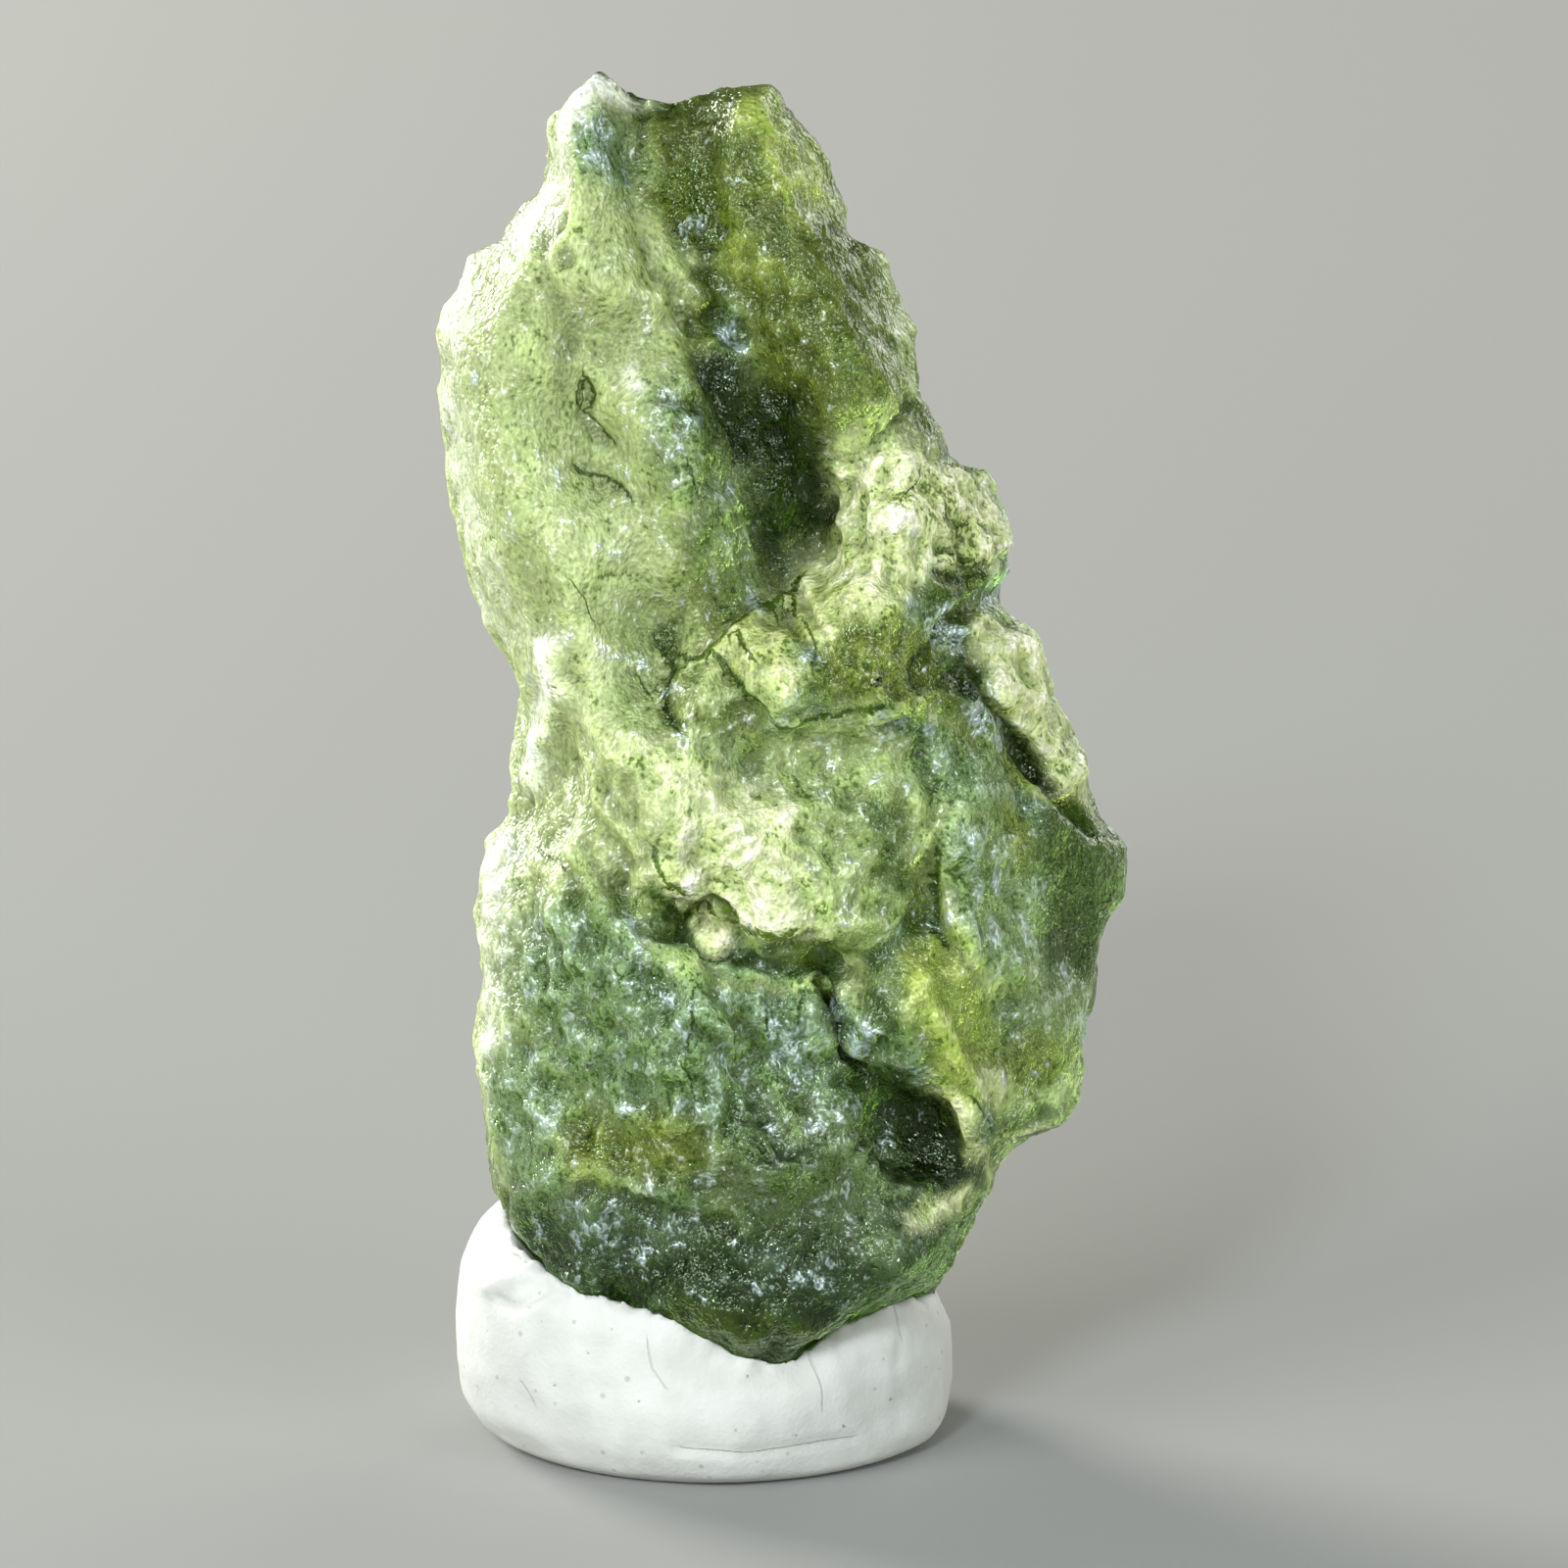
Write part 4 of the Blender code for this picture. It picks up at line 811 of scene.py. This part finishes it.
def in_places(name):
    """The colour stored under a name, mottled and with its marks and lines."""
    mottled = glass.tinted(1.0, glass.shade(glass.attribute(name, "Color"), shade), thickness)
    return glass.tinted(lines, glass.tinted(marks, mottled, MARK_TINT), LINE_TINT)


# painted glint: the pale blue-grey of reflected light mixed into the skin's colour, with dust specks over it
skin_colour = glass.mix(specks, glass.mix(painted_glint * 0.8, in_places("skin"), PAINTED_GLINT_COLOUR), DUST)
frosted = glass.attribute("frost") + painted_glint * 0.45 + specks * 0.4
clear = glass.node(
    "ShaderNodeBsdfPrincipled",
    {},
    {
        "Base Color": in_places("through"),
        "Roughness": glass.attribute("roughness"),
        "IOR": GLASS_IOR,
        "Specular Tint": GLASS_SHINE,
        "Transmission Weight": 1.0,
        "Normal": bump,
    },
)
skin = glass.node(
    "ShaderNodeBsdfPrincipled",
    {},
    {
        "Base Color": skin_colour,
        "Metallic": painted_glint * 0.6,
        "Roughness": 0.36,
        "Specular IOR Level": 0.3,
        "Normal": bump,
    },
)
surface = glass.node("ShaderNodeMixShader", {}, {0: frosted, 1: clear, 2: skin})
depths = glass.node("ShaderNodeVolumeAbsorption", {}, {"Color": DEPTH_COLOUR, "Density": DEPTH_DENSITY})
glass.node("ShaderNodeOutputMaterial", {}, {"Surface": surface, "Volume": depths})
moldavite.data.materials.append(glass.material)
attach(moldavite, "root")
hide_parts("moldavite")

# The putty
#
# A pinch of white mounting putty, rolled into a ball and squashed on to the table, with the stone's foot
# pushed into it. It keeps the dents of the fingers and picks up dust.

PUTTY_FACE = 0.13
PUTTY_SMOOTHING = 8
FLAT_BASE = 0.5  # kneading fades out in this height, so that the base stays flat
SOCKET_REACH = 0.8  # the putty this near to the stone is drawn up against it
SOCKET_GAP = 0.03
CAD_GAP = 0.3

# Lumps that kneading left all over: size, height, and where the noise is read.
LUMPS = [(3.0, 0.10, (2.0, 5.0, 1.0)), (1.1, 0.05, (6.0, 3.0, 8.0)), (0.45, 0.018, (4.0, 4.0, 2.0))]

# Folds and dents: path, half width, depth. A negative depth stands up.
KNEADED = {
    "fold_beside_the_dent": ([(-5.1, 3.5), (-4.4, 3.8), (-3.8, 3.8), (-3.2, 3.4)], 0.35, -0.18),
    "crease_under_the_fold": ([(-4.9, 3.2), (-4.5, 3.0), (-3.9, 3.3)], 0.20, 0.14),
    "second_crease": ([(-3.9, 3.6), (-3.6, 3.2), (-3.3, 3.2)], 0.16, 0.10),
    "dent_beside_the_stone": ([(-5.0, 4.5), (-4.5, 4.2)], 0.55, 0.18),
    "finger_dent": ([(-1.0, 1.6), (0.4, 1.2)], 1.20, 0.10),
    "second_finger_dent": ([(3.9, 1.4), (4.6, 0.6)], 0.90, 0.08),
    "fold_low_down": ([(-0.6, -0.3), (1.1, -0.4), (2.7, -0.2), (3.6, -0.1)], 0.25, 0.06),
    "fold_on_the_right": ([(4.5, 3.2), (4.8, 2.3), (4.7, 1.6)], 0.25, 0.06),
}

# Fine cracks in the putty's skin: path and half width.
HAIRLINES = {
    "under_the_stone": ([(2.7, 2.0), (2.9, 1.0), (2.9, 0.7)], 0.025),
    "on_the_right": ([(4.5, 3.2), (4.7, 2.7), (4.8, 2.3)], 0.025),
    "left_frost_and_painted_light": ([(-4.3, 1.2), (-4.1, 0.9), (-4.0, 0.7)], 0.03),
    "painted_shade_low_down": ([(-0.4, -0.3), (1.1, -0.4), (2.7, -0.2), (3.6, -0.1)], 0.02),
    "in_the_middle": ([(-1.3, 2.2), (-1.2, 1.6), (-0.9, 1.2)], 0.02),
}
HAIR_REACH = 0.2  # how far from a hairline it is looked for

# Specks of dirt: across, up, radius.
DIRT = [
    (-1.5, 0.8, 0.06), (0.8, 0.2, 0.08), (2.2, 0.0, 0.08), (3.4, 0.2, 0.07), (4.6, 0.8, 0.06),
    (5.4, 1.5, 0.05), (5.7, 1.5, 0.05), (-3.5, 1.2, 0.05), (-3.7, 2.3, 0.04), (-2.7, 2.0, 0.05),
    (1.1, 1.3, 0.06), (-0.9, 0.5, 0.04),
]
NO_DIRT = 9.0  # a distance in radii at which no speck shows

putty_bm = with_small_faces(copy_of_node("putty"), PUTTY_FACE)
smooth(putty_bm, PUTTY_SMOOTHING)
putty = object_of("putty_lump", putty_bm)
putty_places = read_vertices(putty.data, "co")
putty_normals = read_vertices(putty.data, "normal")
above_the_base = smoothstep(putty_places[:, 2] / FLAT_BASE)
kneaded = sum(height * vector_noise(putty_places, size, corner)[:, 0] for size, height, corner in LUMPS)
on_putty = on_the_plane(putty_places)
in_front = turned_to_the_front(putty_normals)
for path, half_width, depth in KNEADED.values():
    distance, _ = along_path(on_putty, path)
    kneaded -= depth * fading(distance, half_width) * in_front
putty_places = putty_places + putty_normals * (kneaded * above_the_base)[:, None]
stone_tree = BVHTree.FromPolygons(
    [Vector(place) for place in places],
    [tuple(face.vertices) for face in moldavite.data.polygons],
)
for index, place in enumerate(putty_places):
    place = Vector(place)
    nearest, normal, _, distance = stone_tree.find_nearest(place)
    if (place - nearest).dot(normal) < 0.0:
        putty_places[index] = nearest + normal * SOCKET_GAP
    elif distance < SOCKET_REACH:
        near = min((SOCKET_REACH - distance) / (SOCKET_REACH - CAD_GAP), 1.0)
        room = max(distance - (CAD_GAP - SOCKET_GAP) * near, SOCKET_GAP)
        putty_places[index] = nearest + (place - nearest) * (room / distance)
hair, haired = nearest_line(on_putty, HAIRLINES, HAIR_REACH)
to_dirt = np.full(len(putty_places), np.inf)
for across, up, radius in DIRT:
    to_dirt = np.minimum(to_dirt, np.linalg.norm(on_putty - (across, up), axis=1) / radius)
store_value(putty.data, "hair", hair)
store_value(putty.data, "haired", haired * in_front)
store_value(putty.data, "dirt", np.where(in_front > 0.5, np.minimum(to_dirt, NO_DIRT), NO_DIRT))
write_vertices(putty.data, putty_places * MM)
putty.data.shade_smooth()

PUTTY_GREY = (0.50, 0.51, 0.48, 1.0)
PUTTY_WHITE = (0.55, 0.56, 0.53, 1.0)
HAIR_COLOUR = (0.20, 0.24, 0.16, 1.0)
CRUMB_COLOUR = (0.22, 0.25, 0.20, 1.0)
DIRT_COLOUR = (0.05, 0.06, 0.05, 1.0)

clay = Tree("mounting_putty")
place = clay.node("ShaderNodeTexCoord", out="Object")
mottle = clay.noise(place, scale=900.0, detail=4.0)
ragged = clay.noise(place, scale=9000.0, detail=1.0)
crumb = clay.node("ShaderNodeTexVoronoi", {}, {"Vector": place, "Scale": 1600.0}, out="Distance")
crooked_hair = clay.attribute("hair") + ragged * 2 - 1
hairs = clay.between(abs(crooked_hair), 0.5, 1.5, 1.0, 0.0) * clay.attribute("haired")
dirt = clay.between(clay.attribute("dirt") + ragged * 1.2, 1.0, 1.8, 1.0, 0.0)
crumbs = clay.between(crumb - mottle * 0.16, 0.0, 0.04, 1.0, 0.0)
colour = clay.mix(clay.between(mottle, 0.35, 0.65), PUTTY_GREY, PUTTY_WHITE)
colour = clay.mix(hairs * 0.16, colour, HAIR_COLOUR)
colour = clay.mix(crumbs * 0.45, colour, CRUMB_COLOUR)
colour = clay.mix(dirt * 0.85, colour, DIRT_COLOUR)
bump = clay.bump(mottle * 0.05 + ragged * 0.012 - hairs * 0.02)
shader = clay.node("ShaderNodeBsdfPrincipled", {}, {"Base Color": colour, "Roughness": 0.6, "Normal": bump})
clay.node("ShaderNodeOutputMaterial", {}, {"Surface": shader})
putty.data.materials.append(clay.material)
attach(putty, "root")
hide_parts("putty")

# The table
#
# A plain pale board that the part stands on for its pictures. It belongs to the stage, not to the part, and
# the putty only rests on it.

BOARD_REACH = 1.5  # metres from its middle to its edges
BOARD_COLOUR = (0.28, 0.28, 0.27, 1.0)

table_bm = bmesh.new()
bmesh.ops.create_grid(table_bm, x_segments=1, y_segments=1, size=BOARD_REACH)
table = object_of("table", table_bm)
board = Tree("pale_board")
shader = board.node("ShaderNodeBsdfPrincipled", {}, {"Base Color": BOARD_COLOUR, "Roughness": 0.8})
board.node("ShaderNodeOutputMaterial", {}, {"Surface": shader})
table.data.materials.append(board.material)

# The light and the camera
#
# Two broad soft lights stand in front on the left and right, and two behind shine through the glass. A small
# cool one above the camera draws the glints. The camera stands a little above the stone and looks at its
# sculpted face.

LOOK_AT = Vector((1.97, 0.0, 16.06)) * MM
CAMERA_HEIGHT = math.radians(15.0)
CAMERA_DISTANCE = 0.30
VIEW_WIDTH = 0.03744
STUDIO_COLOUR = (0.95, 1.0, 0.96, 1.0)
STUDIO_STRENGTH = 0.13


def soft_light(name, place, size, power, colour):
    lamp = bpy.data.lights.new(name, "AREA")
    lamp.shape = "DISK"
    lamp.size = size
    lamp.energy = power
    lamp.color = colour
    obj = bpy.data.objects.new(name, lamp)
    obj.location = place
    obj.rotation_euler = (LOOK_AT - Vector(place)).to_track_quat("-Z", "Y").to_euler()
    bpy.context.scene.collection.objects.link(obj)


soft_light("key_left", (-0.28, -0.24, 0.16), 0.26, 1.45, (1.0, 0.99, 0.95))
soft_light("fill_right", (0.30, -0.26, 0.12), 0.26, 0.95, (0.97, 1.0, 0.97))
soft_light("back_left", (-0.24, 0.24, 0.12), 0.16, 2.0, (1.0, 1.0, 0.92))
soft_light("back_right", (0.20, 0.26, 0.10), 0.24, 0.5, (1.0, 1.0, 0.92))
soft_light("front_cool", (-0.10, -0.34, 0.24), 0.08, 1.1, (0.80, 0.90, 1.0))

world = bpy.data.worlds.new("studio")
world.use_nodes = True
world.node_tree.nodes["Background"].inputs["Color"].default_value = STUDIO_COLOUR
world.node_tree.nodes["Background"].inputs["Strength"].default_value = STUDIO_STRENGTH
bpy.context.scene.world = world

camera_data = bpy.data.cameras.new("camera")
camera_data.sensor_width = 36.0
camera_data.lens = camera_data.sensor_width * CAMERA_DISTANCE / VIEW_WIDTH
camera = bpy.data.objects.new("camera", camera_data)
away = Vector((0.0, -math.cos(CAMERA_HEIGHT), math.sin(CAMERA_HEIGHT)))
camera.location = LOOK_AT + away * CAMERA_DISTANCE
camera.rotation_euler = (-away).to_track_quat("-Z", "Y").to_euler()
bpy.context.scene.collection.objects.link(camera)
bpy.context.scene.camera = camera
bpy.context.scene.view_settings.view_transform = "Standard"
